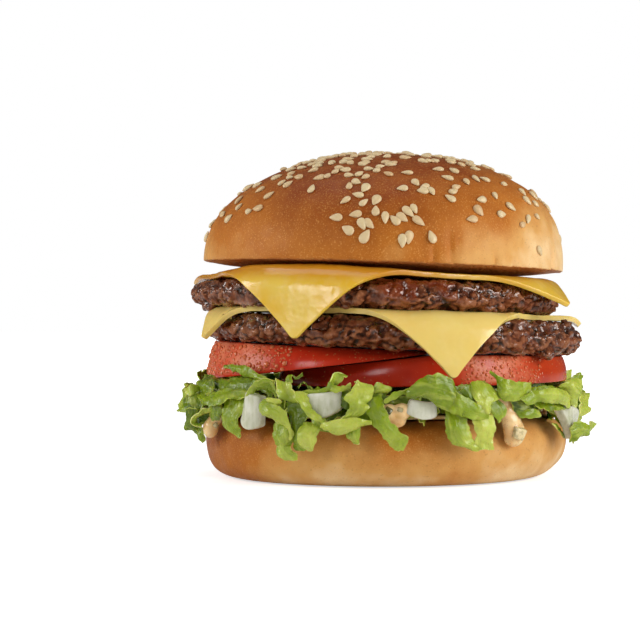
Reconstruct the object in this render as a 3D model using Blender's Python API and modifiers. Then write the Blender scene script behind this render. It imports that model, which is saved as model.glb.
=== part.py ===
"""A double cheeseburger, stacked from the base of its heel up.

Frame: metres, +Z up, origin at the middle of the heel's flat base. The front is -Y, so an angle
of -90 degrees faces it. Every layer above the heel leans a little, down towards +X.
"""

import math

import bmesh
import bpy
from mathutils import Euler, Vector

MM = 0.001
GAP = 0.35 * MM

# The stack, as heights on its axis. Layers between the heel and the crown follow LEAN.
LEAN_ANGLE = math.radians(1.75)
LEAN = -math.tan(LEAN_ANGLE)
HEEL_HEIGHT = 17.8 * MM
SAUCE_BASE = HEEL_HEIGHT + GAP
SAUCE_THICKNESS = 1.2 * MM
LETTUCE_BASE = SAUCE_BASE + SAUCE_THICKNESS + GAP
LETTUCE_TOP = 26.1 * MM
LOWER_PATTY_TOP = 45.2 * MM
CHEESE_THICKNESS = 1.8 * MM
UPPER_PATTY_BASE = LOWER_PATTY_TOP + CHEESE_THICKNESS + 2 * GAP
UPPER_PATTY_TOP = 55.9 * MM
CROWN_RIM = 60.7 * MM
CROWN_SAG = 2.2 * MM

HEEL_RADIUS = 52.6 * MM
HEEL_WAIST = 10.4 * MM
HEEL_SHOULDER = 7.5 * MM
HEEL_FOOT = 9.0 * MM
HEEL_LOP = 0.7 * MM

CROWN_RADIUS = 52.3 * MM
CROWN_HEIGHT = 32.4 * MM
CROWN_FULLNESS = 0.87
CROWN_LOP = 3.8 * MM

SAUCE_RADIUS = 46.0 * MM
LETTUCE_REACH = 55.5 * MM

PATTY_EDGE = 4.5 * MM
# centre x, radius, slope of the underside, outline as (amplitude, waves, phase in degrees)
UPPER_PATTY = dict(
    x=-1.6 * MM,
    radius=53.3 * MM,
    base_slope=LEAN,
    outline=((0.5 * MM, 2, 10), (0.5 * MM, 3, 175), (0.4 * MM, 7, 190), (0.3 * MM, 11, 20)),
)
LOWER_PATTY = dict(
    x=2.6 * MM,
    radius=54.0 * MM,
    base_slope=-0.045,
    outline=((0.6 * MM, 2, 0), (0.6 * MM, 3, 350), (0.5 * MM, 6, 355), (0.4 * MM, 9, 200)),
)
LOWER_PATTY_BASE = 37.3 * MM

CHEESE_BEND = PATTY_EDGE + 1.2 * MM
CHEESE_SLACK = 0.9 * MM
# corners: direction from the patty's middle, distance from it along the slice, and how far the
# corner bends down, front corner first and then anticlockwise seen from above. waist: how far
# the side after the front corner, and the side before it, are pulled in.
UPPER_CHEESE = dict(
    corners=((-112.8, 69.1 * MM, 82), (-29, 63.3 * MM, 40), (66, 52 * MM, 30), (160, 60 * MM, 84)),
    waist=(0.0, 0.0),
)
LOWER_CHEESE = dict(
    corners=((-73.7, 67.8 * MM, 80), (8, 56.8 * MM, 24), (106, 51 * MM, 30), (205, 63 * MM, 63)),
    waist=(0.0, 0.045),
)

TOMATO_RADIUS = 42.0 * MM
LEFT_TOMATO_X = -9.8 * MM
LEFT_TOMATO_END = 12.0 * MM
LEFT_TOMATO_RAMP = (34.2 * MM, 0.118)
RIGHT_TOMATO_X = 11.0 * MM
RIGHT_TOMATO_RAMP = (26.8 * MM, 0.012)
RIGHT_TOMATO_TOP = 35.4 * MM
TOMATO_Y = -1.5 * MM

# where the shreds spill over the heel: angle, half width in degrees, lowest height
LETTUCE_SPILLS = (
    (-165, 16, 12.0 * MM),
    (-117, 13, 8.5 * MM),
    (-85, 9, 10.5 * MM),
    (-62, 11, 10.0 * MM),
    (-14, 13, 11.5 * MM),
    (28, 12, 12.0 * MM),
    (72, 13, 9.5 * MM),
    (112, 12, 11.5 * MM),
    (150, 13, 10.0 * MM),
)
LETTUCE_HEM = 15.5 * MM

# angle round the stack, centre's radius, centre's height, width, height, thickness, turn
ONIONS = (
    (-128.5, 56.4 * MM, 20.4 * MM, 6.2 * MM, 9.6 * MM, 3.0 * MM, 12),
    (-105.5, 56.2 * MM, 22.6 * MM, 9.0 * MM, 7.2 * MM, 3.2 * MM, -8),
    (-79.5, 56.0 * MM, 21.2 * MM, 7.6 * MM, 5.4 * MM, 3.4 * MM, 6),
    (-27.5, 57.6 * MM, 17.6 * MM, 11.5 * MM, 8.6 * MM, 3.0 * MM, 38),
    (52, 56.4 * MM, 21.2 * MM, 8.4 * MM, 7.0 * MM, 3.2 * MM, -20),
    (95, 56.4 * MM, 20.6 * MM, 7.4 * MM, 8.6 * MM, 3.0 * MM, 15),
    (168, 56.6 * MM, 21.4 * MM, 8.8 * MM, 6.4 * MM, 3.2 * MM, -12),
)
ONION_ROUNDING = 0.8 * MM
ONION_POCKET = 10 * MM

COLOURS = dict(
    bun=(0.58, 0.27, 0.08),
    sauce=(0.80, 0.55, 0.28),
    lettuce=(0.28, 0.42, 0.06),
    onion=(0.72, 0.70, 0.60),
    tomato=(0.42, 0.04, 0.015),
    patty=(0.10, 0.035, 0.017),
    cheese=(0.78, 0.52, 0.12),
)


def clear_scene():
    """Removes the startup scene's objects."""
    for obj in list(bpy.data.objects):
        bpy.data.objects.remove(obj, do_unlink=True)


def collection(name):
    """A new collection in the scene."""
    made = bpy.data.collections.new(name)
    bpy.context.scene.collection.children.link(made)
    return made


def material(name, colour, roughness):
    """A Principled material of one colour."""
    made = bpy.data.materials.new(name)
    made.use_nodes = True
    shader = made.node_tree.nodes["Principled BSDF"]
    shader.inputs["Base Color"].default_value = (*colour, 1.0)
    shader.inputs["Roughness"].default_value = roughness
    shader.inputs["Metallic"].default_value = 0.0
    return made


def smooth_step(value):
    """0 below 0, 1 above 1, and a smooth rise between."""
    t = min(max(value, 0.0), 1.0)
    return t * t * (3 - 2 * t)


def turn_between(a, b):
    """The smallest angle between two directions, in degrees."""
    return abs((a - b + 180) % 360 - 180)


def arc(centre, axes, start, end, count):
    """Points on a quarter of an ellipse round centre, both ends included, angles in degrees."""
    points = []
    for i in range(count):
        a = math.radians(start + (end - start) * i / (count - 1))
        points.append((centre[0] + axes[0] * math.cos(a), centre[1] + axes[1] * math.sin(a)))
    return points


def turned_mesh(name, profile, steps):
    """The mesh of a profile of (radius, height) points, turned round Z by a Screw modifier."""
    mesh = bpy.data.meshes.new(name)
    edges = [(i, i + 1) for i in range(len(profile) - 1)]
    mesh.from_pydata([(r, 0.0, z) for r, z in profile], edges, [])
    lathe = bpy.data.objects.new(name, mesh)
    bpy.context.scene.collection.objects.link(lathe)
    screw = lathe.modifiers.new("Screw", "SCREW")
    screw.steps = steps
    screw.render_steps = steps
    screw.use_merge_vertices = True
    screw.merge_threshold = 0.00005
    turned = evaluated_mesh(lathe)
    bpy.data.objects.remove(lathe, do_unlink=True)
    return turned


def evaluated_mesh(obj):
    """A copy of the object's mesh with its modifiers applied."""
    graph = bpy.context.evaluated_depsgraph_get()
    return bpy.data.meshes.new_from_object(obj.evaluated_get(graph))


def place(name, mesh, where, finish):
    """Adds a smooth-shaded object with this mesh to the collection."""
    mesh.name = name
    mesh.materials.clear()
    mesh.materials.append(finish)
    mesh.shade_smooth()
    mesh.set_sharp_from_angle(angle=math.radians(40))
    obj = bpy.data.objects.new(name, mesh)
    where.objects.link(obj)
    return obj


def reshape(mesh, moved):
    """Moves every vertex to moved(x, y, z)."""
    for vertex in mesh.vertices:
        vertex.co = moved(*vertex.co)
    mesh.update()


def waves(angle, terms):
    """The sum of the cosine waves round an outline, at an angle in degrees."""
    return sum(a * math.cos(math.radians(n * angle - phase)) for a, n, phase in terms)


def heel_mesh():
    """The heel: a flat base, a round side that lies a little to the right, and a soft shoulder."""
    shoulder = arc(
        (HEEL_RADIUS - HEEL_SHOULDER, HEEL_WAIST),
        (HEEL_SHOULDER, HEEL_HEIGHT - HEEL_WAIST),
        90,
        0,
        5,
    )
    foot = arc((HEEL_RADIUS - HEEL_FOOT, HEEL_WAIST), (HEEL_FOOT, HEEL_WAIST), 0, -90, 6)
    profile = [(0.0, HEEL_HEIGHT), *shoulder, *foot[1:], (0.0, 0.0)]
    mesh = turned_mesh("heel", profile, 44)

    def lopped(x, y, z):
        return Vector((x + HEEL_LOP * math.sin(math.pi * z / HEEL_HEIGHT), y, z))

    reshape(mesh, lopped)
    return mesh


def crown_mesh():
    """The crown in its own frame: a domed top that lops to the right over a sagging cut face."""
    dome = []
    steps = 9
    for i in range(steps):
        a = math.radians(90 - 90 * i / (steps - 1))
        cos, sin = max(math.cos(a), 0.0), math.sin(a)
        dome.append((CROWN_RADIUS * cos**CROWN_FULLNESS, CROWN_HEIGHT * sin**CROWN_FULLNESS))
    dome[0] = (0.0, CROWN_HEIGHT)
    face = [
        (CROWN_RADIUS * share, -CROWN_SAG * (1 - share**4)) for share in (0.97, 0.86, 0.62, 0.0)
    ]
    mesh = turned_mesh("crown", [*dome, *face], 44)

    def lopped(x, y, z):
        rise = max(0.0, z) / CROWN_HEIGHT
        return Vector((x + CROWN_LOP * rise**1.5, y, z))

    reshape(mesh, lopped)
    return mesh


def sauce_mesh():
    """The sauce layer: a thin disc with a lobed, rounded edge."""
    half = SAUCE_THICKNESS / 2
    middle = SAUCE_BASE + half
    edge = arc((SAUCE_RADIUS - half, middle), (half, half), 90, -90, 5)
    mesh = turned_mesh("sauce", [(0.0, middle + half), *edge, (0.0, middle - half)], 40)
    lobes = ((1.0 * MM, 5, 30), (0.7 * MM, 8, 100))

    def lobed(x, y, z):
        radius = math.hypot(x, y)
        if radius == 0:
            return Vector((x, y, z))
        k = 1 + waves(math.degrees(math.atan2(y, x)), lobes) / SAUCE_RADIUS
        return Vector((x * k, y * k, z))

    reshape(mesh, lobed)
    return mesh


def spill_depth(angle):
    """How low the lettuce's rim reaches at an angle: its hem, or lower where shreds spill over."""
    depth = LETTUCE_HEM
    for centre, half_width, low in LETTUCE_SPILLS:
        share = smooth_step(1.5 - turn_between(angle, centre) / half_width)
        depth = min(depth, LETTUCE_HEM + (low - LETTUCE_HEM) * share)
    return depth


def lettuce_mesh():
    """The bed of shreds out to its uneven outline: a disc with a skirt that hangs over the heel."""
    skirt_in = HEEL_RADIUS + 2 * GAP
    profile = [
        (0.0, LETTUCE_TOP),
        (44 * MM, LETTUCE_TOP),
        (LETTUCE_REACH - 2 * MM, LETTUCE_TOP + 0.2 * MM),
        (LETTUCE_REACH, LETTUCE_TOP + 0.6 * MM),
        (LETTUCE_REACH + 2.6 * MM, 22 * MM),
        (LETTUCE_REACH + 1.5 * MM, 0.6 * LETTUCE_HEM + 0.4 * 22 * MM),
        (skirt_in + 2.2 * MM, LETTUCE_HEM),
        (skirt_in, LETTUCE_HEM),
        (skirt_in - 1.6 * MM, LETTUCE_HEM + 1.2 * MM),
        (50.5 * MM, LETTUCE_BASE - 0.4 * MM),
        (47 * MM, LETTUCE_BASE),
        (0.0, LETTUCE_BASE),
    ]
    mesh = turned_mesh("lettuce", profile, 60)
    ruffle = ((1.1 * MM, 7, 30), (0.9 * MM, 11, 200), (0.6 * MM, 17, 80))
    crest = ((0.8 * MM, 5, 120), (0.8 * MM, 9, 40))

    def ruffled(x, y, z):
        radius = math.hypot(x, y)
        if radius < 48 * MM:
            return Vector((x, y, z))
        angle = math.degrees(math.atan2(y, x))
        low = max(0.0, (22 * MM - z) / (22 * MM - LETTUCE_HEM))
        drop = (LETTUCE_HEM - spill_depth(angle)) * smooth_step(low) if radius > 52 * MM else 0.0
        outer = smooth_step((radius - 53.6 * MM) / (2 * MM))
        spill = 1 - (spill_depth(angle) - 8 * MM) / (LETTUCE_HEM - 8 * MM)
        k = 1 + outer * (waves(angle, ruffle) + 1.6 * MM * spill) / radius
        lift = waves(angle, crest) * smooth_step((z - 22 * MM) / (4 * MM)) * outer
        return Vector((x * k, y * k, z - drop + lift))

    reshape(mesh, ruffled)
    return mesh


def onion_matrix(angle, radius, height, turn):
    """Stands a piece upright against the stack, facing out, turned in its own plane."""
    facing = Euler((0.0, 0.0, math.radians(angle + 90))).to_matrix().to_4x4()
    facing.translation = Vector(
        (radius * math.cos(math.radians(angle)), radius * math.sin(math.radians(angle)), height)
    )
    return facing @ Euler((0.0, math.radians(turn), 0.0)).to_matrix().to_4x4()


def wedge_block(width, thickness, height):
    """A block that is a little wider at its top."""
    edit = bmesh.new()
    bmesh.ops.create_cube(edit, size=1.0)
    bmesh.ops.scale(edit, vec=(width, thickness, height), verts=edit.verts)
    for vertex in edit.verts:
        vertex.co.x *= 1 + 0.12 * vertex.co.z / height
    return edit


def mesh_from(edit, name):
    """The bmesh as a mesh; the bmesh is freed."""
    mesh = bpy.data.meshes.new(name)
    edit.to_mesh(mesh)
    edit.free()
    return mesh


def onion_mesh(width, thickness, height):
    """A diced piece of one of an onion's layers."""
    edit = wedge_block(width, thickness, height)
    bmesh.ops.bevel(
        edit,
        geom=edit.edges,
        offset=ONION_ROUNDING,
        segments=2,
        profile=0.5,
        affect="EDGES",
        material=-1,
    )
    return mesh_from(edit, "onion")


def pocket_mesh(width, thickness, height):
    """The room that a diced piece takes in the lettuce, open to the outside (-Y)."""
    deep = thickness + 2 * GAP + ONION_POCKET
    edit = wedge_block(width + 2 * GAP, deep, height + 2 * GAP)
    bmesh.ops.translate(edit, vec=(0.0, -ONION_POCKET / 2, 0.0), verts=edit.verts)
    return mesh_from(edit, "pocket")


def add_onions(where, finish, cutters, bed):
    """The diced onion at the rim. Each piece sits in a pocket cut in the lettuce."""
    for number, spec in enumerate(ONIONS, 1):
        angle, radius, height, width, tall, thickness, turn = spec
        stand = onion_matrix(angle, radius, height, turn)
        piece = place(f"onion_{number}", onion_mesh(width, thickness, tall), where, finish)
        piece.matrix_world = stand
        cutter = bpy.data.objects.new(f"pocket_{number}", pocket_mesh(width, thickness, tall))
        cutters.objects.link(cutter)
        cutter.matrix_world = stand
        cutter.hide_render = True
        cutter.display_type = "WIRE"
        cut = bed.modifiers.new(f"pocket {number}", "BOOLEAN")
        cut.operation = "DIFFERENCE"
        cut.solver = "EXACT"
        cut.object = cutter


def lower_patty_base(x):
    """The height of the lower patty's underside, which rests on the tomato."""
    return LOWER_PATTY_BASE + LOWER_PATTY["base_slope"] * x


def patty_mesh(name, patty, base, top):
    """A patty of this shape between its sloping base and top, with an uneven outline."""
    radius = patty["radius"]
    edge = arc((radius - PATTY_EDGE, 0.0), (PATTY_EDGE, 0.5), 90, -90, 7)
    mesh = turned_mesh(name, [(0.0, 0.5), *edge, (0.0, -0.5)], 44)

    def pressed(x, y, z):
        away = math.hypot(x, y)
        k = 1.0
        if away > 0:
            k += waves(math.degrees(math.atan2(y, x)), patty["outline"]) * away / radius / radius
        px = x * k + patty["x"]
        under, over = base + patty["base_slope"] * px, top + LEAN * px
        return Vector((px, y * k, under + (z + 0.5) * (over - under)))

    reshape(mesh, pressed)
    return mesh


def hang_at(angle, corners):
    """How far the slice hangs at an angle, blended between its corners, in degrees."""
    count = len(corners)
    for i in range(count):
        first, second = corners[i], corners[(i + 1) % count]
        wide = (second[0] - first[0]) % 360
        share = (angle - first[0]) % 360 / wide
        if share <= 1:
            return first[2] + (second[2] - first[2]) * smooth_step(share)
    return corners[0][2]


def flat_point(u, v, cheese):
    """The point (u, v) of the slice laid flat, each from -1 to 1, the front corner at (1, 1)."""
    side_after, side_before = cheese["waist"]
    u, v = u * (1 - side_before * (1 - v * v)), v * (1 - side_after * (1 - u * u))
    signs = ((1, 1), (-1, 1), (-1, -1), (1, -1))
    x = y = 0.0
    for (angle, reach, _), (corner_u, corner_v) in zip(cheese["corners"], signs):
        share = (1 + corner_u * u) * (1 + corner_v * v) / 4
        x += share * reach * math.cos(math.radians(angle))
        y += share * reach * math.sin(math.radians(angle))
    return x, y


def draped(x, y, cheese, patty, top):
    """Where a flat slice's point comes to lie: on the patty, then bent down over its rim."""
    reach = math.hypot(x, y)
    angle = math.degrees(math.atan2(y, x))
    edge = patty["radius"] - PATTY_EDGE + waves(angle, patty["outline"]) + CHEESE_SLACK
    beyond = max(0.0, reach - edge)
    hang = math.radians(hang_at(angle, cheese["corners"]))
    bent = min(beyond / CHEESE_BEND, hang)
    straight = beyond - bent * CHEESE_BEND
    out = min(reach, edge) + CHEESE_BEND * math.sin(bent) + straight * math.cos(bent)
    drop = CHEESE_BEND * (1 - math.cos(bent)) + straight * math.sin(bent)
    px = patty["x"] + out * math.cos(math.radians(angle))
    return Vector((px, out * math.sin(math.radians(angle)), top + LEAN * px + GAP - drop))


def cheese_mesh(name, cheese, patty, top):
    """A slice draped over a patty, thickened upwards."""
    edit = bmesh.new()
    bmesh.ops.create_grid(edit, x_segments=20, y_segments=20, size=1.0)
    for vertex in edit.verts:
        # closer rows towards the sides, where the slice bends
        u, v = (1.3 * t - 0.3 * t**3 for t in vertex.co.xy)
        vertex.co = draped(*flat_point(u, v, cheese), cheese, patty, top)
    slab = bpy.data.objects.new(name, mesh_from(edit, name))
    bpy.context.scene.collection.objects.link(slab)
    solidify = slab.modifiers.new("Solidify", "SOLIDIFY")
    solidify.thickness = CHEESE_THICKNESS
    solidify.offset = 1.0
    thick = evaluated_mesh(slab)
    bpy.data.objects.remove(slab, do_unlink=True)
    return thick


def left_tomato_base(x):
    """The underside of the left slice, a ramp that rises onto the right slice."""
    return LEFT_TOMATO_RAMP[0] + LEFT_TOMATO_RAMP[1] * x


def right_tomato_base(x):
    """The underside of the right slice."""
    return RIGHT_TOMATO_RAMP[0] + RIGHT_TOMATO_RAMP[1] * x


def left_tomato_top(x):
    """The top of the left slice, which carries the lower patty."""
    return lower_patty_base(x) - GAP


def right_tomato_top(x):
    """The top of the right slice: under the left slice, then flat, then under the patty."""
    return min(RIGHT_TOMATO_TOP, left_tomato_top(x), left_tomato_base(x) - GAP)


def tomato_mesh(name, centre, base, top, lean_in, end=None):
    """A slice between two surfaces, its skin leaning in at the top, cut off at end if given."""
    skin = 0.5 * MM
    profile = [
        (0.0, 1.0),
        (0.55 * TOMATO_RADIUS, 1.0),
        (TOMATO_RADIUS - lean_in - skin, 1.0),
        (TOMATO_RADIUS - lean_in, 0.93),
        (TOMATO_RADIUS - 0.25 * lean_in, 0.5),
        (TOMATO_RADIUS, 0.07),
        (TOMATO_RADIUS - skin, 0.0),
        (0.55 * TOMATO_RADIUS, 0.0),
        (0.0, 0.0),
    ]
    mesh = turned_mesh(name, profile, 48)
    outline = ((0.35 * MM, 3, 60), (0.35 * MM, 5, 10))

    def pressed(x, y, z):
        away = math.hypot(x, y)
        k = 1.0
        if away > 0:
            k += waves(math.degrees(math.atan2(y, x)), outline) * away / TOMATO_RADIUS**2
        px, py = x * k + centre, y * k + TOMATO_Y
        return Vector((px, py, z))

    def between(x, y, z):
        return Vector((x, y, base(x) + z * (top(x) - base(x))))

    reshape(mesh, pressed)
    edit = bmesh.new()
    edit.from_mesh(mesh)
    if end is not None:
        cut = bmesh.ops.bisect_plane(
            edit,
            geom=[*edit.verts, *edit.edges, *edit.faces],
            plane_co=(end, 0, 0),
            plane_no=(1, 0, 0),
            clear_outer=True,
        )
        rim = [e for e in cut["geom_cut"] if isinstance(e, bmesh.types.BMEdge)]
        bmesh.ops.contextual_create(edit, geom=rim)
    edit.to_mesh(mesh)
    edit.free()
    reshape(mesh, between)
    return mesh


def main():
    """Builds the burger from its heel to its crown."""
    clear_scene()
    burger = collection("double_cheeseburger")
    cutters = collection("cutters")
    bun = material("bun crust", COLOURS["bun"], 0.55)
    meat = material("seared beef", COLOURS["patty"], 0.45)
    cheese = material("melted cheese", COLOURS["cheese"], 0.35)
    flesh = material("tomato", COLOURS["tomato"], 0.2)

    place("heel", heel_mesh(), burger, bun)
    place("sauce", sauce_mesh(), burger, material("sauce", COLOURS["sauce"], 0.3))
    bed = place("lettuce", lettuce_mesh(), burger, material("lettuce", COLOURS["lettuce"], 0.4))
    add_onions(burger, material("onion", COLOURS["onion"], 0.25), cutters, bed)
    right = tomato_mesh(
        "tomato_right", RIGHT_TOMATO_X, right_tomato_base, right_tomato_top, 1.2 * MM
    )
    place("tomato_right", right, burger, flesh)
    left = tomato_mesh(
        "tomato_left",
        LEFT_TOMATO_X,
        left_tomato_base,
        left_tomato_top,
        3.0 * MM,
        end=LEFT_TOMATO_END,
    )
    place("tomato_left", left, burger, flesh)

    lower = patty_mesh("patty_lower", LOWER_PATTY, LOWER_PATTY_BASE, LOWER_PATTY_TOP)
    place("patty_lower", lower, burger, meat)
    slice_one = cheese_mesh("cheese_lower", LOWER_CHEESE, LOWER_PATTY, LOWER_PATTY_TOP)
    place("cheese_lower", slice_one, burger, cheese)
    upper = patty_mesh("patty_upper", UPPER_PATTY, UPPER_PATTY_BASE, UPPER_PATTY_TOP)
    place("patty_upper", upper, burger, meat)
    slice_two = cheese_mesh("cheese_upper", UPPER_CHEESE, UPPER_PATTY, UPPER_PATTY_TOP)
    place("cheese_upper", slice_two, burger, cheese)

    crown = place("crown", crown_mesh(), burger, bun)
    crown.location = (0.0, 0.0, CROWN_RIM)
    crown.rotation_euler = (0.0, LEAN_ANGLE, 0.0)


main()
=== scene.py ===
"""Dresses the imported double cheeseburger, from its heel up to the sesame on its crown.

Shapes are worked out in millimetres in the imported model's frame, +Z up, with the front at -Y, so
an angle of -90 degrees round the stack faces it. They are scaled to metres when a piece is
published.
"""

import logging
import math
from collections.abc import Callable, Iterable, Sequence
from dataclasses import dataclass
from enum import Enum

import bmesh
import bpy
import numpy as np
from mathutils import Matrix, Vector, noise
from mathutils.bvhtree import BVHTree


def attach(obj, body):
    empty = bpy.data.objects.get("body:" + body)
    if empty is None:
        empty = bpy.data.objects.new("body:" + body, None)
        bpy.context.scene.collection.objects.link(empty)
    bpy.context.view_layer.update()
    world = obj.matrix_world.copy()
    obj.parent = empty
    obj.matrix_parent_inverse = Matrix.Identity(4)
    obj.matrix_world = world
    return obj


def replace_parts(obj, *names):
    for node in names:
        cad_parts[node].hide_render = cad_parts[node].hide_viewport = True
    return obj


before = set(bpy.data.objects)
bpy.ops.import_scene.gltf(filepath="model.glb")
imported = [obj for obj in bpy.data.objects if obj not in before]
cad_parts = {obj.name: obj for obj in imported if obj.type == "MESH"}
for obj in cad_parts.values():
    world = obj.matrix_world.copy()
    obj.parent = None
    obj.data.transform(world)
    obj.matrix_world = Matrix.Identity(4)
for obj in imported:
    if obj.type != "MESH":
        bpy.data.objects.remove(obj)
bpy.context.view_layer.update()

LOG = logging.getLogger("burger")
MM = 0.001
TURN = math.tau

Colour = tuple[float, float, float, float]
Profile = Sequence[tuple[float, float]]
Waves = tuple[tuple[float, int, float], ...]
Rows = np.ndarray

# The stack, in millimetres. Every layer between the heel and the crown follows LEAN.
LEAN_ANGLE = math.radians(1.75)
LEAN = -math.tan(LEAN_ANGLE)
GAP = 0.35


class Slot(Enum):
    """Material slot names, which no piece uses."""

    BUN = "bun"
    SESAME = "sesame"
    PATTY = "patty"
    CHEESE = "cheese"
    TOMATO = "tomato"
    WATER = "water"
    LETTUCE = "lettuce"
    ONION = "onion"
    SAUCE = "sauce"
    RELISH = "relish"


# ---------------------------------------------------------------------------------------------
# Shared tools


def paint(red: int, green: int, blue: int) -> Colour:
    """A colour from its eight-bit sRGB values, as Blender's linear RGBA.

    Args:
        red: Red, 0 to 255.
        green: Green, 0 to 255.
        blue: Blue, 0 to 255.

    Returns:
        The linear colour, opaque.
    """
    parts = []
    for value in (red, green, blue):
        share = value / 255
        parts.append(share / 12.92 if share <= 0.04045 else ((share + 0.055) / 1.055) ** 2.4)
    return (parts[0], parts[1], parts[2], 1.0)


def smooth_step(value: Rows | float) -> Rows:
    """0 below 0, 1 above 1 and a smooth rise between, for a number or an array.

    Args:
        value: Where on the rise.

    Returns:
        The share reached, in the same shape.
    """
    share = np.clip(value, 0.0, 1.0)
    return share * share * (3 - 2 * share)


def waves_at(angle: Rows | float, terms: Waves) -> Rows:
    """The sum of the cosine waves round an outline.

    Args:
        angle: Degrees round the outline.
        terms: Each wave's amplitude, count and phase in degrees.

    Returns:
        The outline's excess in millimetres, in the shape of angle.
    """
    return sum(a * np.cos(np.radians(n * angle - phase)) for a, n, phase in terms)


def arc(centre: tuple[float, float], axes: tuple[float, float], turn: tuple[float, float], count: int) -> Profile:
    """Points on part of an ellipse, both ends included.

    Args:
        centre: Its middle, as radius and height.
        axes: Its half widths in radius and in height.
        turn: The first and last angle in degrees.
        count: How many points.

    Returns:
        The points, as radius and height.
    """
    angles = np.radians(np.linspace(*turn, count))
    return [(centre[0] + axes[0] * math.cos(a), centre[1] + axes[1] * math.sin(a)) for a in angles]


def rows_of(edit: bmesh.types.BMesh) -> Rows:
    """The places of a bmesh's vertices, one row each."""
    return np.array([vertex.co[:] for vertex in edit.verts], float).reshape(-1, 3)


def move_to(edit: bmesh.types.BMesh, rows: Rows) -> None:
    """Moves a bmesh's vertices to these rows."""
    for vertex, row in zip(edit.verts, rows.tolist()):
        vertex.co = row


def lay_values(edit: bmesh.types.BMesh, name: str, values: Rows) -> None:
    """Stores one number for each vertex, which a material reads as an attribute.

    Args:
        edit: The shape.
        name: The attribute's name.
        values: A number for each vertex, in order.
    """
    layer = edit.verts.layers.float.get(name) or edit.verts.layers.float.new(name)
    for vertex, value in zip(edit.verts, np.asarray(values, float).tolist()):
        vertex[layer] = value


def bumps(rows: Rows, size: float, octaves: int = 1, seed: float = 0.0) -> Rows:
    """Smooth noise from about -1 to 1 at each row.

    Args:
        rows: Places in millimetres.
        size: The width of a bump in millimetres.
        octaves: How many finer layers of noise are added.
        seed: Moves the pattern, so that two pieces differ.

    Returns:
        A number for each row.
    """
    moved = (rows / size + np.array((seed, 3.1 * seed + 7, 5.7 * seed + 3))).tolist()
    if octaves == 1:
        return np.array([noise.noise(row) for row in moved])
    return np.array([noise.fractal(row, 0.9, 2.1, octaves) for row in moved])


def lathe(profile: Profile, steps: int) -> bmesh.types.BMesh:
    """Turns a profile round Z into a closed shell.

    Args:
        profile: Points as radius and height, from the top of the axis to its foot.
        steps: How many steps make the full turn.

    Returns:
        The shell, facing outwards.
    """
    edit = bmesh.new()
    verts = [edit.verts.new((radius, 0.0, height)) for radius, height in profile]
    edges = [edit.edges.new(pair) for pair in zip(verts, verts[1:])]
    bmesh.ops.spin(
        edit,
        geom=[*verts, *edges],
        cent=(0, 0, 0),
        axis=(0, 0, 1),
        angle=TURN,
        steps=steps,
        use_merge=True,
        use_duplicate=False,
    )
    bmesh.ops.remove_doubles(edit, verts=edit.verts, dist=0.002)
    bmesh.ops.recalc_face_normals(edit, faces=edit.faces)
    return edit


def fuse(edit: bmesh.types.BMesh, voxel: float) -> bmesh.types.BMesh:
    """Fuses overlapping shells into one skin with a voxel remesh.

    Args:
        edit: The shells. It is freed.
        voxel: The size of the skin's faces in millimetres.

    Returns:
        The fused skin.
    """
    mesh = bpy.data.meshes.new("fusing")
    edit.to_mesh(mesh)
    edit.free()
    lump = bpy.data.objects.new("fusing", mesh)
    bpy.context.scene.collection.objects.link(lump)
    remesh = lump.modifiers.new("Remesh", "REMESH")
    remesh.mode = "VOXEL"
    remesh.voxel_size = voxel
    graph = bpy.context.evaluated_depsgraph_get()
    skin = bpy.data.meshes.new_from_object(lump.evaluated_get(graph))
    bpy.data.objects.remove(lump, do_unlink=True)
    fused = bmesh.new()
    fused.from_mesh(skin)
    bpy.data.meshes.remove(skin)
    return fused


def normals_of(edit: bmesh.types.BMesh) -> Rows:
    """The vertex normals of a bmesh, one row each."""
    edit.normal_update()
    return np.array([vertex.normal[:] for vertex in edit.verts], float).reshape(-1, 3)


def sow(seed: bmesh.types.BMesh, copies: Sequence[Rows], **values: Sequence[Rows]) -> bmesh.types.BMesh:
    """Repeats a small shape, each copy with its own places for the vertices.

    Args:
        seed: The shape that is repeated. It is freed.
        copies: For each copy, its vertices' places.
        **values: For each copy, the numbers that its vertices store under this name.

    Returns:
        All copies as one shape.
    """
    mesh = bpy.data.meshes.new("seed")
    seed.to_mesh(mesh)
    seed.free()
    edit = bmesh.new()
    for _ in copies:
        edit.from_mesh(mesh)
    bpy.data.meshes.remove(mesh)
    move_to(edit, np.vstack(copies))
    for name, rows in values.items():
        lay_values(edit, name, np.concatenate(rows))
    bmesh.ops.recalc_face_normals(edit, faces=edit.faces)
    return edit


def placed(rows: Rows, stand: Matrix) -> Rows:
    """Rows moved by a 4 by 4 matrix."""
    turn = np.array(stand)
    return rows @ turn[:3, :3].T + turn[:3, 3]


def outward_frame(normal: Vector, turn: float) -> Matrix:
    """A turn that stands +Z along a surface's normal and +X in the surface.

    Args:
        normal: The direction out of the surface.
        turn: Degrees anticlockwise from level, seen from outside, at which +X lies.

    Returns:
        The 4 by 4 rotation.
    """
    level = Vector((-normal.y, normal.x, 0.0))
    if level.length < 1e-6:
        level = Vector((1.0, 0.0, 0.0))
    level.normalize()
    rise = normal.cross(level)
    angle = math.radians(turn)
    ahead = level * math.cos(angle) + rise * math.sin(angle)
    aside = normal.cross(ahead)
    return Matrix((ahead, aside, normal)).transposed().to_4x4()


def round_stack(angle: float, radius: float, height: float) -> Vector:
    """The place at an angle in degrees, a radius and a height in millimetres."""
    turn = math.radians(angle)
    return Vector((radius * math.cos(turn), radius * math.sin(turn), height))


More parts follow.
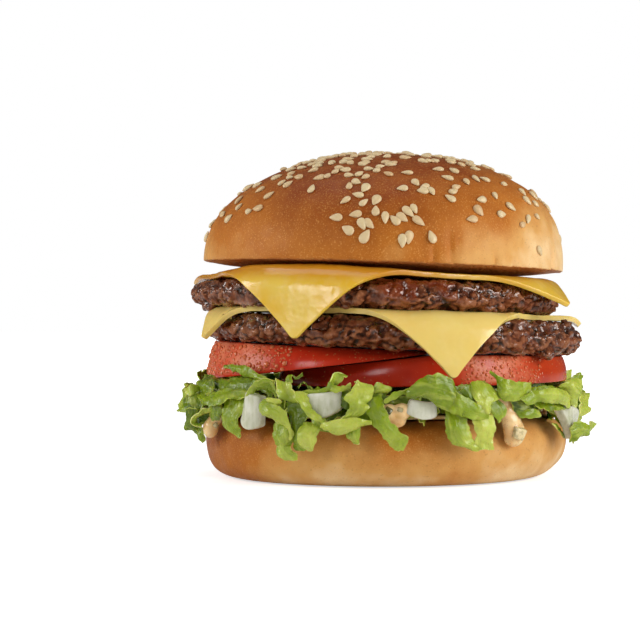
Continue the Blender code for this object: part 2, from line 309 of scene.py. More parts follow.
def publish(
    edit: bmesh.types.BMesh,
    name: str,
    finish: bpy.types.Material,
    crease: float = 50.0,
) -> bpy.types.Object:
    """Makes a shape in millimetres into a finished piece that rides on the stack.

    Args:
        edit: The shape. It is freed.
        name: The piece's name.
        finish: Its material.
        crease: The angle in degrees past which an edge stays sharp.

    Returns:
        The piece.
    """
    bmesh.ops.scale(edit, vec=(MM, MM, MM), verts=edit.verts)
    mesh = bpy.data.meshes.new(name)
    edit.to_mesh(mesh)
    edit.free()
    mesh.materials.append(finish)
    mesh.shade_smooth()
    mesh.set_sharp_from_angle(angle=math.radians(crease))
    piece = bpy.data.objects.new(name, mesh)
    bpy.context.scene.collection.objects.link(piece)
    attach(piece, "root")
    LOG.info("%s: %d faces", name, len(mesh.polygons))
    return piece


# ---------------------------------------------------------------------------------------------
# Finishes


class Wiring:
    """One material's node tree, with short calls for the nodes that the finishes share."""

    def __init__(self, name: str) -> None:
        """Starts a material with one Principled shader."""
        self.material = bpy.data.materials.new(name)
        self.material.use_nodes = True
        self.tree = self.material.node_tree
        self.shader = self.tree.nodes["Principled BSDF"]
        self.place = self.node("ShaderNodeTexCoord").outputs["Object"]

    def node(self, kind: str, feeds: dict | None = None, **settings: object) -> bpy.types.Node:
        """Adds a node.

        Args:
            kind: Its type.
            feeds: For its sockets, by name or number, a constant or another node's output.
            **settings: Its own options.

        Returns:
            The node.
        """
        made = self.tree.nodes.new(kind)
        for key, value in settings.items():
            setattr(made, key, value)
        for key, value in (feeds or {}).items():
            if isinstance(value, bpy.types.NodeSocket):
                self.tree.links.new(value, made.inputs[key])
            else:
                made.inputs[key].default_value = value
        return made

    def drive(self, socket: str, source: bpy.types.NodeSocket) -> None:
        """Feeds one of the shader's sockets."""
        self.tree.links.new(source, self.shader.inputs[socket])

    def fix(self, **constants: float | tuple) -> None:
        """Sets the shader's own sockets, an underscore standing for each space in a name."""
        for key, value in constants.items():
            self.shader.inputs[key.replace("_", " ")].default_value = value

    def attribute(self, name: str) -> bpy.types.NodeSocket:
        """The number that the piece stores for each vertex under this name."""
        return self.node("ShaderNodeAttribute", attribute_name=name).outputs["Fac"]

    def axis(self, letter: str) -> bpy.types.NodeSocket:
        """One coordinate of the piece's own frame, in metres."""
        return self.node("ShaderNodeSeparateXYZ", {0: self.place}).outputs[letter]

    def stretched(self, scale: tuple[float, float, float], turn: float = 0.0) -> bpy.types.NodeSocket:
        """The piece's coordinates, turned round Z by degrees and then scaled on each axis."""
        feeds = {"Vector": self.place, "Scale": scale, "Rotation": (0.0, 0.0, math.radians(turn))}
        return self.node("ShaderNodeMapping", feeds).outputs[0]

    def grain(
        self,
        size: float,
        detail: float = 2.0,
        rough: float = 0.5,
        where: bpy.types.NodeSocket | None = None,
    ) -> bpy.types.NodeSocket:
        """Noise from 0 to 1.

        Args:
            size: The width of its spots in millimetres.
            detail: How many finer layers it has.
            rough: How strong the finer layers are.
            where: The coordinates, if not the piece's own.

        Returns:
            The noise.
        """
        feeds = {
            "Vector": where or self.place,
            "Scale": 1 / (size * MM),
            "Detail": detail,
            "Roughness": rough,
        }
        return self.node("ShaderNodeTexNoise", feeds).outputs[0]

    def cells(self, size: float, feature: str = "F1", spread: float = 1.0) -> bpy.types.NodeSocket:
        """The distance pattern of cells of this width in millimetres.

        Args:
            size: The width of a cell in millimetres.
            feature: Which distance, as Blender names it.
            spread: How irregular the cells are, 0 to 1.

        Returns:
            The distance.
        """
        feeds = {"Vector": self.place, "Scale": 1 / (size * MM), "Randomness": spread}
        return self.node("ShaderNodeTexVoronoi", feeds, feature=feature).outputs[0]

    def math(self, how: str, first: object, second: object = 0.0) -> bpy.types.NodeSocket:
        """One step of arithmetic on two numbers or outputs."""
        return self.node("ShaderNodeMath", {0: first, 1: second}, operation=how).outputs[0]

    def between(self, value: object, low: float, high: float, to: tuple[float, float] = (0.0, 1.0)) -> bpy.types.NodeSocket:
        """Maps low to high onto another range, smoothly and without overshoot.

        Args:
            value: What is mapped.
            low: The value that gives the first end.
            high: The value that gives the second end.
            to: The two ends.

        Returns:
            The mapped value.
        """
        feeds = {"Value": value, "From Min": low, "From Max": high, "To Min": to[0], "To Max": to[1]}
        return self.node("ShaderNodeMapRange", feeds, interpolation_type="SMOOTHSTEP").outputs[0]

    def mix(self, share: object, first: object, second: object, how: str = "MIX") -> bpy.types.NodeSocket:
        """Mixes two colours.

        Args:
            share: How much of the second.
            first: A colour or an output.
            second: A colour or an output.
            how: The blending mode.

        Returns:
            The mixed colour.
        """
        feeds = {0: share, 6: first, 7: second}
        return self.node("ShaderNodeMix", feeds, data_type="RGBA", blend_type=how).outputs[2]

    def ramp(self, share: object, *stops: tuple[float, Colour]) -> bpy.types.NodeSocket:
        """A colour for each value, blended between stops.

        Args:
            share: Where on the ramp.
            *stops: Places from 0 to 1 with their colours, in order.

        Returns:
            The colour.
        """
        made = self.node("ShaderNodeValToRGB", {0: share})
        points = made.color_ramp.elements
        while len(points) < len(stops):
            points.new(1.0)
        for point, (where, colour) in zip(points, stops):
            point.position = where
            point.color = colour
        return made.outputs[0]

    def relief(self, height: bpy.types.NodeSocket, depth: float, under: object = None) -> bpy.types.NodeSocket:
        """A bump.

        Args:
            height: Its height from 0 to 1.
            depth: What a height of 1 stands for, in millimetres.
            under: The bump that it is added to.

        Returns:
            The bumped normal.
        """
        feeds: dict = {"Height": height, "Distance": depth * MM, "Strength": 1.0}
        if under is not None:
            feeds["Normal"] = under
        return self.node("ShaderNodeBump", feeds).outputs[0]


@dataclass(frozen=True)
class CrustFinish:
    """Milk-bun crust, tan near the rim and brown where it baked hardest, with toasted cut faces, and painted light and
    shade by side.
    """

    name: str
    # how hard it baked at its foot, and what its height, its right and its left add; the right and left terms are
    # painted light and shade, a negative one paling that side, a positive one deepening it
    start: float
    climb: float
    right: float
    left: float
    foot: float
    top: float
    fair: Colour = paint(238, 204, 152)
    pale: Colour = paint(214, 160, 92)
    gold: Colour = paint(182, 108, 38)
    brown: Colour = paint(136, 62, 18)
    toast: Colour = paint(178, 100, 46)

    def material(self) -> bpy.types.Material:
        """The crust's material."""
        w = Wiring(self.name)
        drift = w.math("MULTIPLY", w.math("SUBTRACT", w.grain(17, 3.0, 0.55), 0.5), 0.85)
        rise = w.between(w.axis("Z"), self.foot * MM, self.top * MM, (self.start, self.start + self.climb))
        # Painted light and shade by side: a negative term pales that side, a positive one deepens it.
        right = w.between(w.axis("X"), 4 * MM, 50 * MM, (0.0, self.right))
        left = w.between(w.axis("X"), -18 * MM, -54 * MM, (0.0, self.left))
        bake = w.math("ADD", w.math("ADD", rise, drift), w.math("ADD", right, left))
        skin = w.ramp(bake, (0.0, self.fair), (0.2, self.pale), (0.5, self.gold), (1.0, self.brown))
        flecks = w.between(w.grain(0.42, 1.0), 0.54, 0.74, (0.0, 0.38))
        skin = w.mix(flecks, skin, paint(226, 166, 90))
        spots = w.between(w.grain(0.7, 1.0), 0.36, 0.26, (0.0, 0.2))
        skin = w.mix(spots, skin, paint(104, 52, 22))
        crumb = w.ramp(w.grain(1.3, 3.0), (0.3, self.toast), (0.75, paint(196, 132, 72)))
        cut = w.attribute("cut")
        w.drive("Base Color", w.mix(cut, skin, crumb))
        w.drive("Roughness", w.between(w.grain(3.0, 2.0), 0.3, 0.7, (0.40, 0.54)))
        fine = w.relief(w.grain(0.45, 3.0, 0.6), 0.05)
        broad = w.relief(w.grain(2.2, 2.0), 0.10, fine)
        holes = w.math("MULTIPLY", w.between(w.cells(1.5), 0.1, 0.5), cut)
        w.drive("Normal", w.relief(holes, 0.4, broad))
        w.fix(Specular_IOR_Level=0.2, Specular_Tint=(1.0, 0.78, 0.56, 1.0))
        w.fix(Subsurface_Weight=0.06, Subsurface_Radius=(1.0, 0.5, 0.2), Subsurface_Scale=0.002)
        return w.material


@dataclass(frozen=True)
class SesameFinish:
    """Hulled sesame: a translucent greyish middle inside a pale rim."""

    middle: Colour = paint(218, 196, 152)
    rim: Colour = paint(252, 242, 214)

    def material(self) -> bpy.types.Material:
        """The seeds' material."""
        w = Wiring("sesame")
        edge = w.between(w.attribute("rims"), 0.55, 0.98)
        colour = w.mix(edge, self.middle, self.rim)
        toasted = w.math("MULTIPLY", w.attribute("toast"), 0.45)
        colour = w.mix(toasted, colour, paint(196, 138, 76))
        w.drive("Base Color", w.mix(w.between(w.grain(0.9), 0.4, 0.8, (0.0, 0.25)), colour, paint(190, 156, 104)))
        w.drive("Roughness", w.between(w.grain(0.5), 0.3, 0.7, (0.36, 0.5)))
        w.drive("Normal", w.relief(w.grain(0.35), 0.03))
        w.fix(Subsurface_Weight=0.15, Subsurface_Radius=(1.0, 0.8, 0.5), Subsurface_Scale=0.0006)
        return w.material


@dataclass(frozen=True)
class MeatFinish:
    """Seared minced beef under a film of fat and juice."""

    name: str
    glaze: float
    # deep and light follow the relief: painted shade in the cracks, painted light on the crests.
    deep: Colour = paint(30, 11, 5)
    brown: Colour = paint(94, 44, 20)
    light: Colour = paint(144, 88, 54)
    russet: Colour = paint(128, 56, 24)

    def material(self) -> bpy.types.Material:
        """The patty's material."""
        w = Wiring(self.name)
        mottle = w.math("MULTIPLY", w.math("SUBTRACT", w.grain(0.8, 4.0, 0.65), 0.5), 1.1)
        height = w.math("ADD", w.attribute("relief"), mottle)
        colour = w.ramp(height, (0.08, self.deep), (0.5, self.brown), (1.05, self.light))
        warm = w.between(w.grain(6.0, 2.0), 0.42, 0.66, (0.0, 0.6))
        colour = w.mix(warm, colour, w.mix(0.55, colour, self.russet))
        crisp = w.between(w.grain(2.2, 4.0, 0.6), 0.4, 0.7, (0.15, 0.7))
        seared = w.math("MULTIPLY", crisp, w.attribute("sear"))
        colour = w.mix(seared, colour, paint(44, 19, 10))
        gleam = w.attribute("glaze")
        w.drive("Base Color", w.mix(w.math("MULTIPLY", gleam, self.glaze), colour, paint(120, 44, 16)))
        wet = w.math("MULTIPLY", w.between(w.grain(3.2, 3.0, 0.6), 0.42, 0.52), w.math("ADD", w.attribute("sear"), 0.4))
        wet = w.math("MAXIMUM", wet, gleam)
        w.drive("Roughness", w.between(wet, 0.0, 1.0, (0.55, 0.12)))
        w.drive("Coat Weight", w.between(wet, 0.3, 0.8, (0.0, 1.0)))
        w.drive("Normal", w.relief(w.grain(1.15, 2.0, 0.5), 0.48, w.relief(w.grain(0.45, 3.0, 0.6), 0.05)))
        w.fix(Specular_IOR_Level=0.4, Specular_Tint=(1.0, 0.66, 0.46, 1.0), Coat_Roughness=0.08, Coat_IOR=1.6)
        return w.material


@dataclass(frozen=True)
class CheeseFinish:
    """A warm slice of processed cheese, satin, with a moist sheen in places."""

    body: Colour = paint(222, 177, 48)
    pale: Colour = paint(228, 194, 82)

    def material(self) -> bpy.types.Material:
        """The slices' material."""
        w = Wiring("melted cheese")
        colour = w.mix(w.between(w.grain(20, 2.0), 0.35, 0.7), self.body, self.pale)
        colour = w.mix(w.between(w.grain(2.5, 2.0), 0.4, 0.7, (0.0, 0.15)), colour, paint(240, 214, 150))
        # Painted light: the cream attribute pales the colour, set on the lower slice.
        colour = w.mix(w.attribute("cream"), colour, paint(244, 220, 146))
        # Painted shade: the warm attribute deepens the colour to orange under the crust.
        w.drive("Base Color", w.mix(w.math("MULTIPLY", w.attribute("warm"), 0.9), colour, paint(194, 126, 22)))
        w.drive("Roughness", w.between(w.grain(9, 2.0), 0.35, 0.65, (0.12, 0.26)))
        soft = w.relief(w.grain(5.5, 2.0), 0.26)
        w.drive("Normal", w.relief(w.grain(0.8, 2.0), 0.012, soft))
        w.fix(Subsurface_Weight=0.25, Subsurface_Radius=(1.0, 0.6, 0.2), Subsurface_Scale=0.003, Specular_IOR_Level=0.5)
        return w.material


@dataclass(frozen=True)
class TomatoFinish:
    """Ripe tomato: glossy skin round wet flesh, misted where drops have settled, the mist's pale colour both fine
    condensation and a painted sheen.
    """

    skin: Colour = paint(206, 54, 26)
    ripe: Colour = paint(188, 62, 18)
    flesh: Colour = paint(206, 92, 62)

    def material(self) -> bpy.types.Material:
        """The slices' material."""
        w = Wiring("tomato")
        skin = w.mix(w.attribute("ripe"), self.skin, self.ripe)
        skin = w.mix(w.between(w.grain(6, 3.0), 0.35, 0.7, (0.0, 0.35)), skin, paint(170, 28, 16))
        skin = w.mix(w.between(w.grain(0.5, 1.0), 0.66, 0.75, (0.0, 0.35)), skin, paint(214, 96, 62))
        flesh = w.ramp(w.grain(3.5, 3.0), (0.3, paint(182, 48, 30)), (0.7, self.flesh))
        colour = w.mix(w.attribute("cut"), skin, flesh)
        beads = w.between(w.cells(0.85), 0.15, 0.6, (0.55, 1.0))
        # Where drops have settled the pale colour is fine condensation and also a painted sheen of the side light.
        patchy = w.math("MULTIPLY", w.attribute("mist"), w.between(w.grain(5.0, 2.0), 0.3, 0.6, (0.35, 1.0)))
        mist = w.math("MULTIPLY", patchy, beads)
        w.drive("Base Color", w.mix(w.math("MULTIPLY", mist, 0.66), colour, paint(230, 148, 104)))
        w.drive("Roughness", w.between(mist, 0.0, 1.0, (0.2, 0.38)))
        drops = w.relief(mist, 0.12)
        w.drive("Normal", w.relief(w.grain(7.0, 2.0), 0.10, drops))
        w.fix(Coat_Weight=0.08, Coat_Roughness=0.12, Specular_IOR_Level=0.24)
        return w.material


@dataclass(frozen=True)
class WaterFinish:
    """Clear water, tinted by what it lies on."""

    tint: Colour = paint(244, 150, 100)

    def material(self) -> bpy.types.Material:
        """The drops' material."""
        w = Wiring("water")
        w.drive("Base Color", w.mix(w.grain(1.5), self.tint, paint(234, 104, 52)))
        w.fix(Transmission_Weight=0.3, IOR=1.33, Roughness=0.05, Specular_IOR_Level=0.8)
        return w.material


@dataclass(frozen=True)
class LeafFinish:
    """Shredded iceberg: pale and ribbed by the heart, deeper green towards the leaf's edge."""

    name: str
    heart: Colour = paint(190, 198, 84)
    green: Colour = paint(132, 152, 18)
    deep: Colour = paint(68, 92, 10)

    def material(self) -> bpy.types.Material:
        """The leaf's material."""
        w = Wiring(self.name)
        drift = w.math("MULTIPLY", w.math("SUBTRACT", w.grain(4.0, 3.0), 0.5), 0.6)
        tone = w.math("ADD", w.attribute("shade"), drift)
        colour = w.ramp(tone, (0.0, self.heart), (0.45, self.green), (1.0, self.deep))
        feeds = {0: w.math("MULTIPLY", w.attribute("along"), 0.22), 1: w.attribute("across"), 2: w.attribute("shade")}
        plane = w.node("ShaderNodeCombineXYZ", feeds).outputs[0]
        veins = w.node("ShaderNodeTexNoise", {"Vector": plane, "Scale": 0.7, "Detail": 3.0}).outputs[0]
        colour = w.mix(w.between(veins, 0.5, 0.68, (0.0, 0.5)), colour, self.heart)
        w.drive("Base Color", colour)
        w.drive("Roughness", w.between(w.grain(2.0, 2.0), 0.3, 0.7, (0.2, 0.34)))
        crinkle = w.relief(w.grain(1.2, 3.0), 0.22)
        w.drive("Normal", w.relief(veins, 0.5, crinkle))
        w.fix(Subsurface_Weight=0.3, Subsurface_Radius=(0.6, 1.0, 0.2), Subsurface_Scale=0.0015, Specular_IOR_Level=0.42)
        return w.material


@dataclass(frozen=True)
class OnionFinish:
    """Raw white onion, translucent, with faint lines along its fibres."""

    body: Colour = paint(208, 207, 186)
    shade: Colour = paint(184, 186, 152)

    def material(self) -> bpy.types.Material:
        """The dice's material."""
        w = Wiring("raw onion")
        fibres = w.grain(1.2, 2.0, 0.5, w.stretched((1.0, 1.0, 0.25)))
        colour = w.mix(w.between(fibres, 0.35, 0.7), self.body, self.shade)
        w.drive("Base Color", w.mix(w.between(w.grain(6.0), 0.4, 0.7, (0.0, 0.4)), colour, paint(232, 230, 218)))
        w.drive("Roughness", w.between(w.grain(2.5), 0.3, 0.7, (0.2, 0.34)))
        w.drive("Normal", w.relief(w.grain(3.0, 1.0), 0.04))
        w.fix(Subsurface_Weight=0.5, Subsurface_Radius=(1.0, 1.0, 0.8), Subsurface_Scale=0.003, Coat_Weight=0.1, Coat_Roughness=0.1)
        return w.material


@dataclass(frozen=True)
class SauceFinish:
    """Creamy burger sauce with fine specks of spice."""

    name: str
    cream: Colour = paint(240, 206, 148)
    warm: Colour = paint(230, 182, 118)

    def material(self) -> bpy.types.Material:
        """The sauce's material."""
        w = Wiring(self.name)
        colour = w.mix(w.between(w.grain(4.0, 3.0), 0.4, 0.65), self.cream, self.warm)
        specks = w.between(w.grain(0.45, 1.0), 0.68, 0.74, (0.0, 0.7))
        w.drive("Base Color", w.mix(specks, colour, paint(168, 92, 44)))
        w.drive("Roughness", w.between(w.grain(3.0), 0.3, 0.7, (0.16, 0.3)))
        w.drive("Normal", w.relief(w.grain(1.6, 2.0), 0.08))
        w.fix(Subsurface_Weight=0.3, Subsurface_Radius=(1.0, 0.7, 0.4), Subsurface_Scale=0.002, Coat_Weight=0.25, Coat_Roughness=0.08)
        return w.material


@dataclass(frozen=True)
class RelishFinish:
    """Chopped pickle, from clear to olive."""

    olive: Colour = paint(70, 72, 34)
    clear: Colour = paint(226, 206, 156)

    def material(self) -> bpy.types.Material:
        """The relish's material."""
        w = Wiring("relish")
        tone = w.mix(w.attribute("shade"), self.clear, self.olive)
        w.drive("Base Color", w.mix(w.between(w.grain(1.0), 0.4, 0.7, (0.0, 0.5)), tone, paint(120, 112, 60)))
        w.drive("Roughness", w.between(w.grain(0.8), 0.3, 0.7, (0.08, 0.22)))
        w.drive("Normal", w.relief(w.grain(0.7, 2.0), 0.08))
        w.fix(Subsurface_Weight=0.3, Subsurface_Radius=(1.0, 1.0, 0.5), Subsurface_Scale=0.002, Coat_Weight=0.5, Coat_Roughness=0.04)
        return w.material


# ---------------------------------------------------------------------------------------------
# The bun


@dataclass
class Heel:
    """The bottom of the bun: a flat base, a round side that lies to the right, a soft shoulder."""

    height: float = 17.8
    radius: float = 52.6
    waist: float = 10.4
    shoulder: float = 7.5
    foot: float = 9.0
    lop: float = 0.7
    steps: int = 300
    creases: tuple[tuple[float, float], ...] = ((-70, 0.25), (-119, 0.2), (-38, 0.2), (-150, 0.2), (20, 0.3), (64, 0.2), (110, 0.3), (151, 0.2))

    def profile(self) -> Profile:
        """The half section, from the middle of the top to the middle of the base."""
        shoulder = arc((self.radius - self.shoulder, self.waist), (self.shoulder, self.height - self.waist), (90, 0), 20)
        foot = arc((self.radius - self.foot, self.waist), (self.foot, self.waist), (0, -90), 26)
        top = [(share * (self.radius - self.shoulder), self.height) for share in np.linspace(0, 1, 14)[:-1]]
        base = [(share * (self.radius - self.foot), 0.0) for share in (0.97, 0.8, 0.4, 0.0)]
        return [*top, *shoulder, *foot[1:], *base]

    def build(self) -> bmesh.types.BMesh:
        """The heel's shape."""
        edit = lathe(self.profile(), self.steps)
        rows = rows_of(edit)
        away = np.hypot(rows[:, 0], rows[:, 1])
        angle = np.degrees(np.arctan2(rows[:, 1], rows[:, 0]))
        side = smooth_step((away - 40) / 6) * smooth_step(rows[:, 2] / 2.5)
        swell = 0.45 * bumps(rows, 19, 2, 3.0) + 0.12 * bumps(rows, 5, 2, 5.0)
        for where, depth in self.creases:
            turned = (angle - where - 5 * bumps(rows, 30, 1, where) + 180) % 360 - 180
            swell -= depth * np.exp(-((turned / 1.1) ** 2)) * smooth_step(rows[:, 2] / 9)
        grow = 1 + side * swell / np.maximum(away, 1)
        rows[:, :2] *= grow[:, None]
        rows[:, 0] += self.lop * np.sin(math.pi * rows[:, 2] / self.height)
        crumb = smooth_step((47 - away) / 2) * (rows[:, 2] > self.height - 0.5)
        rows[:, 2] -= crumb * (0.25 + 0.25 * bumps(rows, 2.2, 2, 8.0))
        move_to(edit, rows)
        lay_values(edit, "cut", crumb)
        return edit

    def dress(self) -> bpy.types.Object:
        """Builds the heel and gives it its crust."""
        # Paler on its lit right and deeper on its shaded left, both painted.
        finish = CrustFinish("heel crust", 0.14, 0.3, -0.16, 0.62, 1.0, 18.0).material()
        piece = publish(self.build(), "heel_bun", finish)
        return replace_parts(piece, "heel")


@dataclass
class Crown:
    """The top of the bun: a dome that lops to the right over a sagging cut face."""

    rim: float = 60.7
    radius: float = 52.3
    height: float = 32.4
    fullness: float = 0.87
    sag: float = 2.2
    lop: float = 3.8
    steps: int = 480
    # angle, depth, half width in degrees, height up the side
    wrinkles: tuple[tuple[float, float, float, float], ...] = (
        (-75, 0.5, 0.6, 6.0),
        (-69.3, 0.7, 0.9, 10.5),
        (-67.8, 0.25, 0.7, 9.5),
        (-54, 0.7, 0.7, 5.0),
        (-47, 0.5, 0.7, 3.8),
        (-23.4, 0.7, 0.8, 7.0),
        (-100, 0.15, 0.8, 4.0),
        (-131, 0.18, 0.8, 4.5),
        (-160, 0.30, 0.9, 5.0),
        (8, 0.40, 0.9, 8.0),
        (31, 0.30, 0.8, 5.0),
        (58, 0.45, 1.0, 9.0),
        (61, 0.25, 0.8, 6.0),
        (97, 0.35, 0.9, 7.0),
        (128, 0.30, 0.8, 5.5),
        (163, 0.40, 0.9, 8.0),
    )

    def profile(self) -> Profile:
        """The half section, from the top of the dome to the middle of the cut face."""
        dome = []
        for angle in np.radians(np.linspace(90, 0.6, 78)):
            cos, sin = max(math.cos(angle), 0.0), math.sin(angle)
            dome.append((self.radius * cos**self.fullness, self.height * sin**self.fullness))
        dome[0] = (0.0, self.height)
        lip = [(self.radius - 0.06, 0.12), (self.radius - 0.35, -0.1)]
        shares = (0.975, 0.95, 0.92, 0.88, 0.83, 0.77, 0.7, 0.6, 0.45, 0.25, 0.0)
        face = [(self.radius * share, -self.sag * (1 - share**4)) for share in shares]
        return [*dome, *lip, *face]

    def build(self) -> bmesh.types.BMesh:
        """The crown's shape, in place."""
        edit = lathe(self.profile(), self.steps)
        rows = rows_of(edit)
        away = np.hypot(rows[:, 0], rows[:, 1])
        angle = np.degrees(np.arctan2(rows[:, 1], rows[:, 0]))
        face = (rows[:, 2] < 0.05) & (away < self.radius - 0.2)
        normals = normals_of(edit)
        swell = 0.40 * bumps(rows, 21, 2, 1.0) + 0.10 * bumps(rows, 6, 2, 2.0)
        for where, depth, half, tall in self.wrinkles:
            bend = 2.0 * bumps(rows, 9, 1, where)
            turned = (angle - where - bend * rows[:, 2] / 8 + 180) % 360 - 180
            fade = smooth_step((tall - rows[:, 2]) / (0.6 * tall))
            swell -= depth * np.exp(-((turned / half) ** 2)) * fade * ~face
        swell *= np.where(face, smooth_step((self.radius - away) / 8), smooth_step(1.0 + rows[:, 2] / 10))
        rows += normals * swell[:, None]
        rows[:, 2] += np.where(rows[:, 2] < 1.2, 0.22 * bumps(rows, 2.6, 2, 4.0), 0) * (away > self.radius - 2)
        rise = np.maximum(rows[:, 2], 0) / self.height
        rows[:, 0] += self.lop * rise**1.5
        cos, sin = math.cos(LEAN_ANGLE), math.sin(LEAN_ANGLE)
        x, z = rows[:, 0].copy(), rows[:, 2].copy()
        rows[:, 0] = x * cos + z * sin
        rows[:, 2] = self.rim - x * sin + z * cos
        move_to(edit, rows)
        lay_values(edit, "cut", face.astype(float))
        return edit

    def dress(self) -> bpy.types.Object:
        """Builds the crown and gives it its crust."""
        # Paler on its lit right and its sheened left, both painted light.
        finish = CrustFinish("crown crust", 0.52, 0.50, -0.50, -0.2, 60.0, 86.0).material()
        piece = publish(self.build(), "crown_bun", finish)
        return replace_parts(piece, "crown")


# Seeds set one by one on the crown's front: the direction from its middle as an angle round the
# stack and an angle up, the turn of the seed's tip, and its size.
FRONT_SEEDS = (
    (-115, 31, 85, 0.8), (-113, 34, 85, 0.9), (-113, 37, -5, 0.9), (-109, 35, 175, 1),
    (-106, 31, -5, 0.85), (-102, 32, 60, 1), (-99, 30, -125, 0.85), (-102, 27, -30, 0.9),
    (-104, 25, 100, 0.9), (-98, 24, -110, 1.1), (-104, 19, -135, 1), (-100, 21, 165, 1),
    (-98, 18, 45, 0.9), (-94, 19, -115, 1.1), (-94, 15, 90, 0.95), (-100, 14, -170, 1.05),
    (-106, 13, 180, 1.1), (-98, 11, -65, 1.1), (-96, 11, -45, 1.1), (-91, 13, -90, 1.1),
    (-88, 12, 135, 1.05), (-86, 13, -40, 1.1), (-84, 15, -50, 1.25), (-82, 16, -70, 0.95),
    (-81, 12, -40, 1.2), (-85, 24, -170, 0.95), (-80, 27, -70, 0.95), (-77, 25, -150, 1),
    (-78, 23, -180, 1), (-75, 23, -80, 1), (-99, 36, 0, 0.85), (-95, 35, 80, 0.95),
    (-94, 38, 25, 0.8), (-90, 32, 140, 0.95), (-82, 33, -180, 1), (-67, 36, -175, 1),
    (-114, 43, -5, 1), (-103, 47, -5, 1), (-103, 41, 30, 0.9), (-91, 43, 0, 1),
    (-89, 40, 0, 1), (-67, 45, 10, 0.9), (-62, 45, 40, 0.9), (-102, 9, 150, 1.1),
    (-97, 7, 60, 1.25), (-86, 6, -90, 1.15), (-84, 7, -100, 1.15), (-77, 7, 110, 1.1),
    (-60, 35, 110, 1.05), (-66, 30, 155, 1.05), (-65, 25, 20, 0.9), (-67, 23, 25, 0.95),
    (-69, 20, 140, 1), (-59, 28, -95, 0.85), (-53, 30, -90, 0.95), (-48, 30, 145, 0.95),
    (-39, 28, -15, 0.7), (-50, 22, -95, 0.75), (-57, 20, -175, 1), (-60, 16, -60, 1.1),
    (-63, 13, -175, 1.05), (-51, 15, 0, 0.95), (-45, 18, -45, 1.05), (-33, 21, -75, 1),
    (-30, 25, -90, 0.9), (-21, 24, -80, 1), (-27, 20, -25, 0.9), (-42, 12, 20, 0.9),
    (-38, 14, -125, 0.95), (-32, 15, -40, 0.7), (-35, 4, -50, 1), (-48, 42, 10, 1),
    (-44, 38, -15, 1), (-49, 48, 30, 1), (-152, 14, 40, 1.05), (-154, 21, 90, 1.05),
    (-149, 18, 60, 0.8), (-141, 16, 15, 0.75), (-137, 17, -175, 1.1), (-136, 22, 55, 1.05),
    (-144, 25, -135, 0.95), (-152, 28, 35, 1), (-145, 32, 95, 0.95), (-144, 32, 60, 0.95),
    (-135, 28, 75, 0.85), (-131, 27, 60, 0.95), (-134, 31, 10, 0.75), (-137, 34, 80, 0.85),
    (-129, 31, 175, 1), (-144, 38, 30, 1), (-137, 39, 10, 1), (-126, 36, -125, 0.95),
    (-128, 40, 15, 0.95), (-118, 30, -155, 1.05), (-118, 24, 95, 1),
)


@dataclass
class Sesame:
    """The seeds on the crown, thick on its top and thinner down its side."""

    length: float = 3.15
    width: float = 2.2
    thickness: float = 1.1
    heart: tuple[float, float, float] = (1.5, 0.0, 60.7)
    scattered: int = 270
    seed: int = 41

    def spots(self) -> list[tuple[float, float, float, float]]:
        """Each seed's direction round and up, turn and size: listed in front, strewn elsewhere."""
        draw = np.random.default_rng(self.seed)
        spots = list(FRONT_SEEDS)
        while len(spots) < len(FRONT_SEEDS) + self.scattered:
            angle = draw.uniform(-180, 180)
            rise = math.degrees(math.asin(draw.uniform(0.06, 1.0)))
            turn, size = draw.uniform(-180, 180), draw.uniform(0.85, 1.12)
            front = -160 < angle < -12
            thin = smooth_step((rise - 4) / 34)
            if (front and rise < 42) or draw.uniform() > 0.16 + 0.84 * thin:
                continue
            spots.append((angle, rise, turn, size))
        return spots

    def build(self, crust: BVHTree) -> bmesh.types.BMesh:
        """All seeds as one shape.

        Args:
            crust: The crown that they lie on.

        Returns:
            The seeds.
        """
        seed = bmesh.new()
        bmesh.ops.create_uvsphere(seed, u_segments=10, v_segments=7, radius=1.0)
        x, y, z = rows_of(seed).T
        slim = 1 - 0.34 * z - 0.14 * z * z
        rim = np.minimum(1.0, np.hypot(x, 0.9 * z))
        draw = np.random.default_rng(self.seed + 1)
        heart = Vector(self.heart)
        copies, rims, toasts = [], [], []
        for angle, rise, turn, size in self.spots():
            ray = round_stack(angle, math.cos(math.radians(rise)), math.sin(math.radians(rise)))
            hit, normal, _, _ = crust.ray_cast(heart, ray)
            tone, tilt, plump = draw.uniform() ** 3, draw.uniform(-14, 14), draw.uniform(0.85, 1.12)
            if hit is None:
                continue
            body = np.column_stack(
                (
                    0.5 * self.length * size * (z + 0.16 * np.maximum(z, 0.0) ** 3),
                    0.5 * self.width * size * plump * x * slim,
                    0.5 * self.thickness * y * (slim + 0.1),
                )
            )
            seat = Matrix.Translation(hit + normal * (0.28 * self.thickness)) @ outward_frame(normal, turn)
            copies.append(placed(body, seat @ Matrix.Rotation(math.radians(tilt), 4, "X")))
            rims.append(rim)
            toasts.append(np.full(len(rim), tone))
        return sow(seed, copies, rim=rims, toast=toasts)

    def dress(self, crown: bpy.types.Object) -> bpy.types.Object:
        """Strews the seeds on the finished crown."""
        return publish(self.build(skin_of(crown)), "sesame_seeds", SesameFinish().material(), 180)


def skin_of(*pieces: bpy.types.Object) -> BVHTree:
    """The surface of finished pieces as one search tree, in millimetres.

    Args:
        *pieces: Finished pieces, with their modifiers.

    Returns:
        The tree.
    """
    graph = bpy.context.evaluated_depsgraph_get()
    both = bmesh.new()
    for piece in pieces:
        both.from_mesh(piece.evaluated_get(graph).to_mesh())
    bmesh.ops.scale(both, vec=(1 / MM,) * 3, verts=both.verts)
    tree = BVHTree.FromBMesh(both)
    both.free()
    return tree


# ---------------------------------------------------------------------------------------------
# The meat and the cheese


@dataclass(frozen=True)
class Lump:
    """A lump of mince that stands out of a patty: place round the stack and half sizes."""

    angle: float
    radius: float
    height: float
    wide: float
    deep: float
    tall: float
    tilt: float = 0.0


